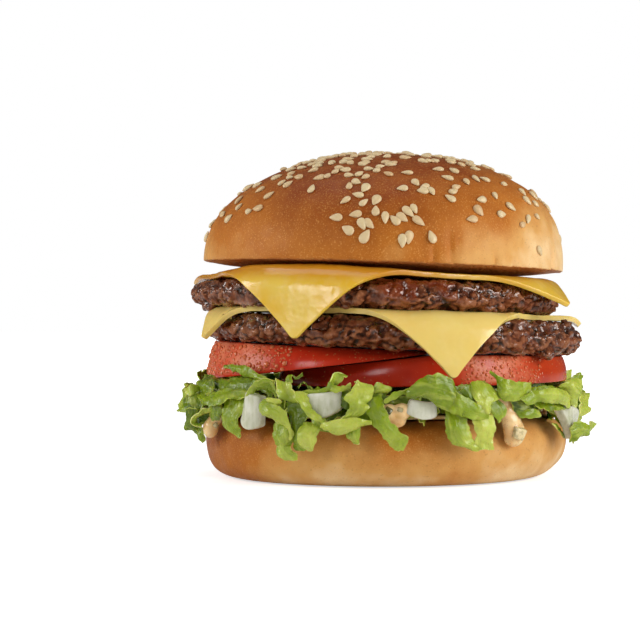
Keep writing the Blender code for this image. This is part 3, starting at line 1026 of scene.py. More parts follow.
@dataclass
class Patty:
    """A hand-pressed patty between a sloping base and top, with a crumbled rim."""

    name: str
    middle: float
    radius: float
    base: float
    base_slope: float
    top: float
    outline: Waves
    seed: int
    lumps: tuple[Lump, ...] = ()
    glaze: tuple[float, float, float] = (0, 0, 0)
    strewn: int = 900
    # how much the top stands higher in the middle and at the rim
    hump: float = 0.55
    curl: float = 0.35
    # how much the left of its top sinks
    dip: float = 0.0
    edge: float = 4.5
    voxel: float = 0.5

    def under(self, x: Rows | float) -> Rows | float:
        """The height of the underside at x."""
        return self.base + self.base_slope * x

    def over(self, x: Rows | float, away: Rows | float = 40.0) -> Rows | float:
        """The height of the top at x, and that far from the patty's middle."""
        crest = self.hump * (1 - smooth_step((away - 18) / 16)) + self.curl * smooth_step((away - 40) / 9)
        return self.top + LEAN * x + crest - self.dip * smooth_step((-x - 34) / 16)

    def reach(self, angle: Rows | float) -> Rows | float:
        """The rim's distance from the patty's middle at an angle in degrees."""
        return self.radius + waves_at(angle, self.outline)

    def blank(self) -> bmesh.types.BMesh:
        """The smooth patty, a little slimmer than the finished one."""
        slim = 1.3
        rim = arc((self.radius - self.edge, 0.0), (self.edge - slim, 0.5), (90, -90), 13)
        edit = lathe([(0.0, 0.5), *rim, (0.0, -0.5)], 120)
        rows = rows_of(edit)
        away = np.hypot(rows[:, 0], rows[:, 1])
        angle = np.degrees(np.arctan2(rows[:, 1], rows[:, 0]))
        grow = 1 + waves_at(angle, self.outline) * away / self.radius**2
        x, y = rows[:, 0] * grow + self.middle, rows[:, 1] * grow
        under, over = self.under(x) + 0.1, self.over(x, away) - 0.1
        move_to(edit, np.column_stack((x, y, under + (rows[:, 2] + 0.5) * (over - under))))
        return edit

    def crumbs(self) -> bmesh.types.BMesh:
        """Lumps of mince all round the rim, and the large ones given one by one."""
        draw = np.random.default_rng(self.seed)
        seed = bmesh.new()
        bmesh.ops.create_icosphere(seed, subdivisions=2, radius=1.0)
        ball = rows_of(seed)
        copies = []
        for _ in range(self.strewn):
            angle, share = draw.uniform(-180, 180), draw.uniform(0.0, 1.0)
            size = draw.uniform(0.0, 1.0) ** 1.6
            wide, deep, tall = 0.8 + 2.6 * size, 0.7 + 1.2 * size, 0.6 + 1.2 * size
            tuck = self.edge * (1 - math.sqrt(max(0.0, 1 - (2 * share - 1) ** 2)))
            out = float(self.reach(angle)) - 0.9 * tuck - 0.8 * deep + draw.uniform(-1.3, 0.1)
            x = self.middle + out * math.cos(math.radians(angle))
            low, high = self.under(x) + 0.65 * tall, self.over(x) - 0.8 * tall
            where = Vector((x, out * math.sin(math.radians(angle)), low + share * (high - low)))
            copies.append(self.lump(ball, where, angle, (wide, deep, tall), draw.uniform(-30, 30)))
        for big in self.lumps:
            where = round_stack(big.angle, big.radius, big.height)
            copies.append(self.lump(ball, where, big.angle, (big.wide, big.deep, big.tall), big.tilt))
        return sow(seed, copies)

    def lump(self, ball: Rows, where: Vector, angle: float, half: tuple[float, float, float], tilt: float) -> Rows:
        """One ellipsoid.

        Args:
            ball: A ball's vertices.
            where: Its middle.
            angle: The direction that it faces, in degrees round the stack.
            half: Its half sizes along the rim, out of it and upwards.
            tilt: Degrees that its long side rises.

        Returns:
            Its vertices.
        """
        stand = Matrix.Translation(where) @ Matrix.Rotation(math.radians(angle + 90), 4, "Z")
        return placed(ball * half, stand @ Matrix.Rotation(math.radians(tilt), 4, "Y"))

    def build(self) -> bmesh.types.BMesh:
        """The patty, its lumps fused into one crumbled skin."""
        edit = self.crumbs()
        core = bpy.data.meshes.new("core")
        blank = self.blank()
        blank.to_mesh(core)
        blank.free()
        edit.from_mesh(core)
        bpy.data.meshes.remove(core)
        edit = fuse(edit, self.voxel)
        bmesh.ops.smooth_vert(edit, verts=edit.verts, factor=0.5, use_axis_x=True, use_axis_y=True, use_axis_z=True)
        rows, normals = rows_of(edit), normals_of(edit)
        away = np.hypot(rows[:, 0] - self.middle, rows[:, 1])
        rim = smooth_step((away - (self.radius - 9)) / 5)
        edge = away > self.radius - 13
        crumble = np.zeros(len(rows))
        crumble[edge] = self.crumble(rows[edge])
        rows += normals * (crumble * rim)[:, None]
        move_to(edit, rows)
        # relief: painted shade deep in the cracks and painted light on the crests.
        lay_values(edit, "relief", np.clip(0.6 + 0.6 * crumble + self.hollow(edit, rows), 0, 1))
        share = (rows[:, 2] - self.under(rows[:, 0])) / (self.over(rows[:, 0]) - self.under(rows[:, 0]))
        sear = 0.1 + 0.9 * smooth_step((share - 0.4) / 0.5) + 0.5 * smooth_step((0.14 - share) / 0.14)
        lay_values(edit, "sear", np.clip(sear, 0, 1))
        angle = np.degrees(np.arctan2(rows[:, 1], rows[:, 0]))
        start, end, strength = self.glaze
        band = smooth_step((angle - start) / 8) * smooth_step((end - angle) / 8) * smooth_step((share - 0.2) / 0.3)
        band[edge] *= smooth_step(0.6 + 1.6 * bumps(rows[edge], 5, 2, self.seed))
        lay_values(edit, "glaze", strength * band)
        return edit

    def crumble(self, rows: Rows) -> Rows:
        """How far the crumbled surface stands out of the smooth one at each row."""
        flat = rows * (1, 1, 1.5)
        broad = 0.6 * bumps(flat, 6.5, 3, self.seed)
        crack = np.exp(-((bumps(flat, 5.0, 2, self.seed + 9) / 0.10) ** 2))
        coarse = np.array([noise.voronoi(row)[0][0] for row in (flat / 2.5).tolist()])
        fine = np.array([noise.voronoi(row)[0][0] for row in (rows / 1.25).tolist()])
        return 1.1 * broad + 0.55 * (0.45 - coarse) + 0.35 * (0.45 - fine) - 0.7 * crack

    def hollow(self, edit: bmesh.types.BMesh, rows: Rows) -> Rows:
        """How deep each vertex lies among the lumps, from -1 to 1: below 0 in a crack."""
        smooth = edit.copy()
        for _ in range(6):
            bmesh.ops.smooth_vert(smooth, verts=smooth.verts, factor=1.0, use_axis_x=True, use_axis_y=True, use_axis_z=True)
        calm, normals = rows_of(smooth), normals_of(smooth)
        smooth.free()
        return np.clip(((rows - calm) * normals).sum(axis=1) / 0.35, -1, 1) * 0.5

    def dress(self, node: str) -> bpy.types.Object:
        """Builds the patty and gives it its meat."""
        finish = MeatFinish(f"{self.name} beef", 0.6).material()
        piece = publish(self.build(), self.name, finish, 180)
        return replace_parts(piece, node)


@dataclass
class CheeseSlice:
    """A square slice laid on a patty, its corners bent down over the rim."""

    name: str
    patty: Patty
    # direction of each corner, its distance along the slice and how far it hangs, in degrees,
    # front corner first and then anticlockwise seen from above
    corners: tuple[tuple[float, float, float], ...]
    waist: tuple[float, float] = (0.0, 0.0)
    # how far the slice bulges up over the rim towards its front corner
    bulge: float = 1.5
    # how much painted shade deepens its colour next to the crust above it
    shade: float = 1.0
    # how much paler it is, as painted light
    cream: float = 0.0
    thickness: float = 1.45
    slack: float = 0.9
    bend: float = 5.7
    cells: int = 120
    corner: float = 0.05
    clearance: float = 0.2
    seed: float = 0.0

    def hang(self, angle: Rows) -> Rows:
        """How far the slice hangs at each angle, blended between its corners, in degrees."""
        hang = np.zeros_like(angle)
        for index, first in enumerate(self.corners):
            second = self.corners[(index + 1) % len(self.corners)]
            share = (angle - first[0]) % 360 / ((second[0] - first[0]) % 360)
            inside = share <= 1
            hang[inside] = (first[2] + (second[2] - first[2]) * smooth_step(share))[inside]
        return hang

    def flat(self, u: Rows, v: Rows) -> tuple[Rows, Rows]:
        """Points of the slice laid flat, from u and v of -1 to 1, the front corner at (1, 1)."""
        inner = 1 - self.corner
        past_u, past_v = np.maximum(abs(u) - inner, 0), np.maximum(abs(v) - inner, 0)
        length = np.hypot(past_u, past_v)
        keep = np.where(length > 0, np.maximum(past_u, past_v) / np.maximum(length, 1e-9), 1)
        u = np.sign(u) * (np.minimum(abs(u), inner) + past_u * keep)
        v = np.sign(v) * (np.minimum(abs(v), inner) + past_v * keep)
        after, before = self.waist
        u, v = u * (1 - before * (1 - v * v)), v * (1 - after * (1 - u * u))
        x, y = np.zeros_like(u), np.zeros_like(u)
        for (angle, reach, _), (side_u, side_v) in zip(self.corners, ((1, 1), (-1, 1), (-1, -1), (1, -1))):
            share = (1 + side_u * u) * (1 + side_v * v) / 4
            x += share * reach * math.cos(math.radians(angle))
            y += share * reach * math.sin(math.radians(angle))
        return x, y

    def drape(self, x: Rows, y: Rows) -> Rows:
        """Where points of the flat slice come to lie: on the patty, then bent over its rim."""
        reach, angle = np.hypot(x, y), np.degrees(np.arctan2(y, x))
        edge = self.patty.reach(angle) - self.patty.edge + self.slack
        beyond = np.maximum(0.0, reach - edge)
        hang = np.radians(self.hang(angle))
        bent = np.minimum(beyond / self.bend, hang)
        straight = beyond - bent * self.bend
        out = np.minimum(reach, edge) + self.bend * np.sin(bent) + straight * np.cos(bent)
        drop = self.bend * (1 - np.cos(bent)) + straight * np.sin(bent)
        share = np.minimum(reach / edge, 1)
        turned = (angle - self.corners[0][0] + 180) % 360 - 180
        lift = self.bulge * share**4 * np.exp(-((turned / 30) ** 2)) * (1 - smooth_step(beyond / 16))
        px = self.patty.middle + out * np.cos(np.radians(angle))
        height = self.patty.over(px, np.minimum(out, edge)) + GAP + lift - drop
        return np.column_stack((px, out * np.sin(np.radians(angle)), height))

    def settle(self, rows: Rows, meat: BVHTree, side: int) -> Rows:
        """Pushes the draped sheet out of the meat, evenly enough that it stays a sheet.

        Args:
            rows: The draped sheet, row by row of a square grid.
            meat: The patty.
            side: How many vertices the grid has on a side.

        Returns:
            The settled sheet.
        """
        push = np.zeros_like(rows)
        for turn in range(4):
            for index, row in enumerate(rows + push):
                near, normal, _, _ = meat.find_nearest(row)
                depth = (Vector(row) - near).dot(normal)
                if depth < self.clearance:
                    push[index] += np.array(near + normal * self.clearance) - row
            if turn < 3:
                push = self.even(push, side, 2)
        return rows + self.even(push, side, 1)

    def even(self, push: Rows, side: int, rounds: int) -> Rows:
        """Spreads each vertex's push over its neighbours on the grid."""
        grid = push.reshape(side, side, 3)
        for _ in range(rounds):
            wide = np.pad(grid, ((1, 1), (1, 1), (0, 0)), mode="edge")
            around = wide[:-2, 1:-1] + wide[2:, 1:-1] + wide[1:-1, :-2] + wide[1:-1, 2:]
            grid = 0.5 * grid + 0.125 * around
        return grid.reshape(-1, 3)

    def build(self, meat: BVHTree) -> bmesh.types.BMesh:
        """The underside of the slice as one sheet.

        Args:
            meat: The patty that it lies on.

        Returns:
            The sheet, which a Solidify modifier thickens upwards.
        """
        edit = bmesh.new()
        bmesh.ops.create_grid(edit, x_segments=self.cells, y_segments=self.cells, size=1.0)
        flat = rows_of(edit)
        side = round(math.sqrt(len(flat)))
        order = np.lexsort((np.round(flat[:, 0], 5), np.round(flat[:, 1], 5)))
        u, v = flat[order, 0], flat[order, 1]
        u, v = (1.25 * t - 0.25 * t**3 for t in (u, v))
        rows = self.drape(*self.flat(u, v))
        rows[:, 2] += 0.25 * bumps(rows, 11, 1, self.seed) + 0.1 * bumps(rows, 4, 1, self.seed)
        rows = self.settle(rows, meat, side)
        laid = np.empty_like(rows)
        laid[order] = rows
        move_to(edit, laid)
        lay_values(edit, "cream", np.full(len(laid), self.cream))
        # Painted shade under the crust: deepest high on the slice and weaker towards the right.
        thin = smooth_step((laid[:, 2] - self.patty.over(laid[:, 0]) + 2.5) / 3.5)
        lay_values(edit, "warm", self.shade * thin * (1 - 0.6 * smooth_step((laid[:, 0] - 2) / 26)))
        return edit

    def dress(self, node: str, meat: bpy.types.Object, finish: bpy.types.Material) -> bpy.types.Object:
        """Drapes the slice over the finished patty.

        Args:
            node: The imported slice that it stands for.
            meat: The finished patty.
            finish: The cheese's material.

        Returns:
            The slice.
        """
        piece = publish(self.build(skin_of(meat)), self.name, finish, 60)
        thick = piece.modifiers.new("Thickness", "SOLIDIFY")
        thick.thickness = self.thickness * MM
        thick.offset = 1.0
        edges = piece.modifiers.new("Soft edges", "BEVEL")
        edges.width = 0.4 * MM
        edges.segments = 3
        edges.limit_method = "ANGLE"
        edges.angle_limit = math.radians(50)
        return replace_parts(piece, node)


# ---------------------------------------------------------------------------------------------
# Tomato


@dataclass
class TomatoSlice:
    """A tomato slice between a ramp and a top, its skin leaning in."""

    name: str
    middle: float
    ramp: tuple[float, float]
    over: Callable[[Rows], Rows]
    lean_in: float
    mist: tuple[tuple[float, float], ...]
    ripe: tuple[float, float]
    end: float | None = None
    radius: float = 42.0
    shift: float = -1.5
    outline: Waves = ((0.35, 3, 60), (0.35, 5, 10))
    belly: float = 0.5

    def under(self, x: Rows | float) -> Rows | float:
        """The height of the underside at x."""
        return self.ramp[0] + self.ramp[1] * x

    def profile(self) -> Profile:
        """The half section as radius and share of the thickness, from the top's middle down."""
        side = []
        for share in (0.965, 0.93, 0.86, 0.75, 0.62, 0.5, 0.38, 0.25, 0.14, 0.07, 0.035):
            lean = self.lean_in * (1 - (1 - share) ** 0.8)
            side.append((self.radius - lean + self.belly * math.sin(math.pi * share), share))
        tops = [(share * (self.radius - self.lean_in - 0.5), 1.0) for share in (0, 0.3, 0.6, 0.85, 0.95, 1)]
        feet = [(share * (self.radius - 0.5), 0.0) for share in (1, 0.95, 0.85, 0.6, 0.3, 0)]
        return [*tops, (self.radius - self.lean_in - 0.15, 0.99), *side, (self.radius - 0.12, 0.01), *feet]

    def build(self) -> bmesh.types.BMesh:
        """The slice's shape, in place."""
        edit = lathe(self.profile(), 220)
        rows = rows_of(edit)
        angle = np.degrees(np.arctan2(rows[:, 1], rows[:, 0]))
        away = np.hypot(rows[:, 0], rows[:, 1])
        share = rows[:, 2].copy()
        grow = 1 + waves_at(angle, self.outline) * away / self.radius**2
        rows[:, 0] = rows[:, 0] * grow + self.middle
        rows[:, 1] = rows[:, 1] * grow + self.shift
        move_to(edit, rows)
        cut_face = ((share > 0.985) | (share < 0.005)).astype(float)
        lay_values(edit, "cut", cut_face)
        side = 1 - cut_face
        # Where drops settle: the pale mist there is also a painted sheen.
        misty = np.zeros_like(angle)
        for start, stop in self.mist:
            misty = np.maximum(misty, smooth_step((angle - start) / 9) * smooth_step((stop - angle) / 26))
        lay_values(edit, "mist", misty * side * smooth_step((share - 0.03) / 0.12))
        start, stop = self.ripe
        lay_values(edit, "ripe", smooth_step((angle - start) / (stop - start)))
        if self.end is not None:
            cut = bmesh.ops.bisect_plane(
                edit,
                geom=[*edit.verts, *edit.edges, *edit.faces],
                plane_co=(self.end, 0, 0),
                plane_no=(1, 0, 0),
                clear_outer=True,
            )
            rim = [e for e in cut["geom_cut"] if isinstance(e, bmesh.types.BMEdge)]
            bmesh.ops.contextual_create(edit, geom=rim)
        rows = rows_of(edit)
        under = self.under(rows[:, 0])
        rows[:, 2] = under + rows[:, 2] * (self.over(rows[:, 0]) - under)
        move_to(edit, rows)
        return edit

    def dress(self, node: str, finish: bpy.types.Material) -> bpy.types.Object:
        """Builds the slice and gives it its skin and flesh."""
        piece = publish(self.build(), self.name, finish, 40)
        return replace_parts(piece, node)


@dataclass(frozen=True)
class Leaf:
    """A piece of leaf between two cut edges.

    Each row pairs a point of one edge with a point of the other, both as an angle in degrees, a
    radius and a height in millimetres.
    """

    rows: tuple[tuple[float, ...], ...]
    shade: tuple[float, float] = (0.45, 0.45)
    cup: float = 0.5
    ruffle: float = 0.3


# The fill leaves with a shade near 1 (dark fill left, loop dark, behind onion, behind strip, pocket dark) are deep
# green as painted shade in the gaps.
FRONT_LEAVES: tuple[Leaf, ...] = (
    Leaf(((-148.1, 56.5, 21.7, -148.9, 55.5, 17.8), (-142.2, 56, 22.4, -143.1, 55.5, 18.6), (-136.3, 55.5, 23.7, -135.1, 55, 19.9), (-131, 55, 23.8, -132.3, 54.5, 20)), (0.95, 0.95), 0, 0.2),  # dark fill left
    Leaf(((-157.6, 52, 27.8, -150.9, 54, 25.7), (-145.8, 53, 28.6, -141.8, 55, 25.5), (-135.4, 53, 29.1, -133.8, 55, 25.1), (-128.2, 53, 28.7, -129.1, 54.5, 26.3), (-123, 53, 28.3, -123.6, 54, 24.5)), (0.6, 0.85), 0.8, 0.3),  # under tomato
    Leaf(((-149.3, 51, 32.3, -148.6, 51, 31.7), (-140.5, 52.5, 32.5, -140, 52.5, 30.8), (-132.9, 53.2, 31.9, -134.7, 53.2, 29.7), (-127.3, 54, 30.1, -129.1, 53.7, 29), (-121.5, 55, 28.6, -123.2, 54.5, 28.1)), (0.6, 0.5), 0.5, 0.1),  # tongue
    Leaf(((-158.5, 53.5, 29.4, -151.9, 53, 29), (-154.8, 57, 27.1, -146.7, 56, 26.7), (-154.3, 57.5, 24.6, -147.8, 57, 23.9)), (0.8, 0.6), 0.8, 0.4),  # far left top
    Leaf(((-154, 57, 26.8, -153.2, 57, 25.1), (-153.2, 60, 26.6, -151.7, 60, 24.4), (-154.6, 61.5, 25.5, -153.6, 61, 23.5)), (0.5, 0.0), 0.5, 0.4),  # crest
    Leaf(((-153.6, 61, 24.1, -151.5, 58, 24.4), (-154.1, 62, 22.1, -150.1, 58, 21.9), (-151.9, 62, 20.3, -149.9, 59, 20)), (0.7, 0.9), 0.6, 0.5),  # dark lobe
    Leaf(((-153.6, 61, 21, -150.8, 58, 21.1), (-154.4, 61, 17.6, -152.5, 58.5, 17.9), (-156.6, 60.5, 15, -154.5, 58, 14.8), (-157.1, 58, 13.8, -154.8, 57, 13.9)), (0.8, 0.65), 0.6, 0.5),  # lower left
    Leaf(((-157.7, 59, 16, -154, 57, 15.9), (-156.9, 57.5, 13.5, -152.7, 56.3, 14), (-154.8, 57, 11.9, -153.1, 56, 12.3), (-153.5, 56.3, 10.6, -153.2, 55.8, 11.1)), (0.65, 0.45), 0.3, 0.2),  # tip left
    Leaf(((-149.4, 56.2, 19.7, -149.2, 56, 17.2), (-154, 57, 18.7, -152.5, 57, 15.7), (-156.9, 57.5, 17.2, -155.1, 57.5, 15.3)), (0.95, 0.95), 0, 0.1),  # loop dark
    Leaf(((-146.6, 57, 21.1, -147.5, 56.5, 19.8), (-148.9, 59.5, 19.9, -150.8, 58, 18.6), (-152, 60.5, 17.2, -153.6, 58.5, 16.8), (-152.2, 59.5, 15.2, -153, 58, 15.8), (-150.1, 58, 14.8, -151.7, 57, 15.7)), (0.15, 0.25), 0.3, 0.1),  # loop
    Leaf(((-153.7, 58, 24.6, -149.9, 59, 23.1), (-146.4, 58, 24, -143.6, 60, 21.5), (-141, 57.5, 25.3, -137.6, 60, 21.9), (-135.9, 56.5, 26.2, -133.8, 59, 23.4), (-130.6, 55, 26, -129.4, 57, 24.2)), (0.5, 0.55), 0.8, 0.2),  # smile
    Leaf(((-146.2, 57.8, 21.5, -140, 57.8, 21.8), (-146.2, 57.5, 19.3, -139.6, 57.8, 19.9), (-145.1, 57.2, 17.1, -141.6, 57.4, 17.6)), (0.55, 0.8), 0.4, 0.2),  # drop over sauce
    Leaf(((-137.7, 57.5, 24.3, -130.2, 56.5, 23.6), (-138.1, 58.2, 21.6, -129.9, 57.2, 21), (-138.6, 58.5, 18.8, -132.1, 57.7, 19.3), (-138.4, 58, 16.4, -132.5, 57.3, 16.8), (-135.8, 57.3, 14.5, -132.9, 56.9, 14.9), (-133.2, 57, 13, -132.9, 56.8, 13.3)), (0.45, 0.5), 0.7, 0.2),  # hanging left
    Leaf(((-129.7, 58, 24.9, -129.4, 57, 24), (-127.2, 59, 27, -127.2, 57, 25.8), (-124.5, 59.5, 28.6, -125.1, 57, 26.7), (-122.2, 59, 29.3, -123, 57, 26.9), (-120.7, 58, 28.5, -122.1, 56.5, 26), (-118.8, 57, 25.3, -120.8, 56, 24.4)), (0.2, 0.6), 0.4, 0.1),  # arch
    Leaf(((-116.9, 56.5, 28.2, -115.5, 56.3, 28), (-117.2, 55.5, 30, -116.3, 55.2, 29.7), (-115.5, 54, 29.9, -115.5, 54, 29.1), (-114, 53, 31.1, -113.8, 53, 30)), (0.6, 0.9), 0, 0.1),  # tendril
    Leaf(((-114.9, 54, 27.4, -114.6, 54, 27), (-112.7, 54.5, 28.6, -112.7, 54.5, 28.2), (-111.2, 54.5, 27.7, -111.5, 54.5, 27.2), (-109.5, 55, 26.4, -110.1, 55, 26.1)), (0.9, 0.9), 0, 0),  # wire
    Leaf(((-120.4, 57, 29.1, -116, 56.5, 28.8), (-118.5, 59, 27.2, -115.1, 57, 26.9), (-118.2, 59.5, 25.4, -114, 57.5, 25.4), (-117.8, 59, 24, -113.2, 57.5, 23.8), (-116.3, 57.5, 23.2, -113, 57, 23)), (0.15, 0.35), -1.2, 0.2),  # concave curl
    Leaf(((-116.9, 57, 22.9, -110.3, 56.5, 23), (-115.7, 57.5, 19.5, -110.1, 57, 20.1), (-115.1, 57.5, 15.8, -111.6, 57, 16.4), (-114.8, 57, 12.6, -111.8, 57, 12.7), (-114.2, 56.5, 10.4, -110.3, 56.5, 10.4)), (0.75, 0.55), 0.6, 0.3),  # dark leaf
    Leaf(((-122.4, 59, 23.8, -121.9, 59, 23.5), (-119.8, 60.3, 24.6, -119.4, 60, 23.4), (-117.7, 60.3, 24.3, -118.2, 60, 22.7), (-116.7, 59.5, 23.4, -117.7, 59.3, 22.4)), (0.0, 0.1), 0.4, 0.1),  # crest fold
    Leaf(((-122.8, 60, 22.6, -121.7, 59.5, 23.7), (-123.4, 60, 20.5, -119.2, 60.4, 23.1), (-120.2, 59.7, 19.1, -117.3, 60.5, 22.2), (-117.4, 59.3, 17.7, -115.1, 60.3, 20.2), (-115.5, 58.8, 15.6, -114.2, 59.6, 17.5), (-114.9, 58.3, 13.2, -113.6, 58.8, 14.3)), (0.4, 0.1), 1.0, 0.15),  # fold droop
    Leaf(((-118.9, 57.8, 17.8, -115, 58.3, 18), (-120.3, 58.3, 15.4, -114.6, 58.6, 15.3), (-119.6, 58.2, 13.3, -114.4, 58.1, 13.2), (-119.5, 57.2, 11.9, -115.2, 57.4, 11.5), (-119.8, 57.4, 10.3, -114.8, 57.6, 10.8), (-118.3, 56.8, 8.5, -114.2, 57, 9.4), (-116.5, 56.2, 8, -113.8, 56.3, 7.9)), (0.5, 0.2), 0.8, 0.5),  # curl end
    Leaf(((-113.2, 59, 26.4, -110.1, 57, 25.4), (-112, 60.2, 23.9, -109.9, 57.5, 23.6), (-111, 60.2, 21.8, -108.9, 58, 21.8), (-109.3, 59.7, 19.9, -107.5, 58.6, 20.5), (-106.8, 59.2, 18.3, -106.1, 58.7, 19.2), (-104.8, 58.7, 17.5, -104.5, 58.7, 17.9)), (0.2, 0.3), 0.7, 0.3),  # onion side
    Leaf(((-112.5, 57.5, 26.1, -112.2, 57.5, 25.4), (-109.3, 57.5, 26.5, -109.1, 57.3, 25.4), (-106.5, 57.5, 26.8, -105.8, 57.3, 25.6), (-104.6, 57.5, 28.1, -103.8, 57.3, 26.8), (-103.6, 57.8, 29.7, -102.8, 57.3, 27.6)), (0.5, 0.4), 0.2, 0.1),  # stem
    Leaf(((-103.9, 57, 28, -102.4, 56.5, 27.6), (-103.7, 58.5, 29.7, -101.8, 56.8, 28.4), (-102.7, 58.5, 30.9, -100.9, 57, 29.3), (-101.3, 57.8, 31.2, -100.3, 57.2, 30), (-99.5, 57.3, 30.3, -99.4, 57.2, 29.9)), (0.15, 0.5), -0.5, 0.1),  # olive curl
    Leaf(((-104.8, 56.8, 27, -104.2, 57, 25.9), (-103.3, 57.4, 27.9, -103.2, 57.7, 26), (-101.8, 57.8, 27.2, -101.8, 57.8, 26.1), (-100.2, 57.8, 27.9, -100, 57.7, 26.2), (-98.6, 57.8, 28.6, -98.3, 57.3, 26.7)), (0.35, 0.1), 0.4, 0.3),  # ruffled bit
    Leaf(((-105.3, 56, 26.2, -97.8, 56.3, 26.3), (-102.2, 56.3, 24.7, -98, 56.6, 24.2), (-101.1, 56.4, 22.1, -98.6, 56.6, 21)), (0.85, 0.8), 0.2, 0.3),  # behind onion
    Leaf(((-97.3, 58.5, 29.4, -96.8, 58.5, 28.9), (-97.5, 59.2, 27.4, -93.5, 57.6, 27.8), (-98.5, 60.2, 25.9, -92.7, 58, 26.1), (-99.9, 60.3, 24.5, -92.6, 58.2, 24.5), (-98.5, 60.4, 23.2, -94.4, 58.7, 23.1), (-98.5, 60.2, 21.7, -93.4, 59.3, 22.1), (-99.9, 59.6, 19.8, -95.3, 59.2, 20.3), (-101.4, 59.2, 18.5, -97.9, 59.2, 18.8)), (0.0, 0.35), 0.9, 0.5),  # bright crumple
    Leaf(((-93.8, 56, 26.3, -88.9, 56, 25.8), (-94.3, 56.3, 22.6, -91.6, 56.3, 22.4), (-96.1, 57, 20, -93.2, 57, 19.5), (-96.6, 57.3, 18.4, -92.9, 57.3, 18.2)), (0.8, 0.75), 0.3, 0.2),  # behind strip
    Leaf(((-92.4, 56.2, 26.8, -92.1, 56.2, 26.3), (-91.6, 57.4, 28.5, -91.3, 56.8, 26.1), (-89.7, 57.4, 28.1, -89.7, 56.8, 26), (-87.7, 56.8, 27.4, -88.1, 56.3, 26.2)), (0.1, 0.3), 0.6, 0.1),  # small pale bit
    Leaf(((-94.5, 57, 22.9, -90.5, 57, 25.5), (-94.1, 58.2, 20.9, -89.6, 58.7, 22.5), (-93.1, 58.8, 18.3, -88.9, 59.3, 20.4), (-91, 58.6, 15.8, -88.4, 59.3, 19.1), (-89.2, 57.2, 13.5, -85.7, 57.8, 15.9), (-87.4, 57.3, 11.4, -83.3, 57.8, 13.9), (-86, 57.2, 10.4, -84.7, 57.2, 10.8)), (0.6, 0.2), 0.3, 0.15),  # strip
    Leaf(((-90, 57.3, 23.7, -89.5, 57.2, 23.2), (-87.9, 58, 25.7, -87.4, 57.3, 24.4), (-85.6, 58, 26.8, -85, 57.3, 25.2), (-83.2, 58, 26.9, -83.1, 57.3, 24.8)), (0.35, 0.5), 0.3, 0.1),  # rim by slot
    Leaf(((-106.4, 58.7, 17, -106.1, 58.7, 16.7), (-104, 59.8, 18.4, -104.4, 59.2, 16), (-101.2, 60.4, 19, -102, 59.2, 14.8), (-98.2, 60.4, 19.3, -98.4, 59.2, 15.8), (-95.5, 59.8, 19.2, -95.4, 58.9, 17.1), (-93.1, 58.8, 18.4, -93.1, 58.8, 17.9)), (0.0, 0.2), 1.2, 0.15),  # lens
    Leaf(((-99.7, 58, 17.1, -95.7, 58, 17.7), (-99.7, 57.9, 15, -95.9, 57.9, 15.1), (-99.1, 57.4, 13.4, -95.8, 57.4, 13.5), (-97.7, 57.1, 12.4, -96.1, 57.1, 12.3)), (0.45, 0.3), 0.3, 0.3),  # pocked
    Leaf(((-110.2, 57.5, 20.4, -106.1, 57.2, 19.4), (-108.9, 58, 18.1, -104.5, 57.7, 17.6), (-107.5, 58, 15.7, -104.3, 57.6, 15.5)), (0.35, 0.6), 0.4, 0.2),  # behind curl
    Leaf(((-111.1, 58, 17.8, -108.6, 58, 17.9), (-111.5, 59.6, 16.3, -106.2, 58.6, 16.6), (-112, 60.4, 15, -106.9, 59.3, 15), (-112, 60.5, 13.8, -107.2, 59.3, 14), (-111.4, 59.2, 11.7, -107.8, 58.6, 12.1), (-109.9, 58.1, 10.5, -108.7, 58, 10.7)), (0.3, 0.0), 0.9, 0.2),  # bright curl
    Leaf(((-73.4, 58, 21.8, -69.4, 59.2, 20.5), (-73.5, 58.1, 18.1, -68, 59.3, 18.6), (-73.1, 57.7, 14.9, -67, 58.8, 15.6), (-71.5, 57.5, 12.6, -65.8, 58.2, 13.2), (-67.8, 57.4, 11.3, -64.8, 57.9, 11.8), (-65.9, 57.2, 10.5, -63.7, 57.4, 10.4)), (0.55, 0.1), 1.0, 0.15),  # hang front
    Leaf(((-66.3, 59.3, 19.6, -60.5, 59.3, 19.8), (-66.2, 59.6, 17.3, -60.1, 59.5, 17.4), (-65.4, 59.2, 15.1, -60.1, 59.2, 14.7), (-65.4, 58.6, 12.7, -60.4, 58.7, 13.1), (-64.3, 58.1, 10.5, -59.8, 58.1, 10.5)), (0.0, 0.05), 0.6, 0.35),  # ribbed
    Leaf(((-68.5, 58.5, 28, -67, 58.5, 27.3), (-69.6, 59.3, 26.3, -66.3, 59, 25.4), (-68.6, 59.3, 24.8, -66, 59.2, 23.8), (-66.6, 59.2, 23.3, -65.7, 59.2, 23.3)), (0.7, 0.75), 0.4, 0.1),  # small dark
    Leaf(((-66.6, 58, 28.2, -61.8, 57.5, 28.9), (-66.8, 59.6, 25.7, -60.6, 59, 26.5), (-66.3, 60.4, 23.4, -58.7, 59.7, 24.2), (-64.6, 60.4, 21.5, -61.3, 60.2, 23.3), (-62.8, 59.9, 19.8, -61.7, 59.8, 21.3)), (0.35, 0.0), 1.2, 0.2),  # satin
    Leaf(((-83.8, 58.3, 26.6, -83.5, 57.6, 24.5), (-82.7, 60, 28, -80.9, 58.2, 25.2), (-80.6, 61, 29.7, -78.5, 59.2, 24.3), (-78.2, 61.5, 30.9, -76, 59.8, 22.4), (-75.7, 61.5, 30.9, -73.8, 60.2, 21.1), (-73, 61, 29.5, -71.8, 60.6, 20.6), (-71.2, 60.4, 26.3, -69.7, 60.6, 19.5)), (0.6, 0.65), 1.3, 0.2),  # arc leaf
    Leaf(((-73.3, 61.2, 26.8, -73.3, 60.4, 21.1), (-71.6, 61.5, 26, -71.3, 60.7, 20.4), (-68.9, 61.3, 24.5, -69.2, 60.7, 19.2), (-66, 60.9, 22.9, -66.2, 60.2, 18.9), (-62.8, 60.3, 20.9, -62.3, 59.8, 18.8)), (0.5, 0.35), 0.7, 0.15),  # diagonal
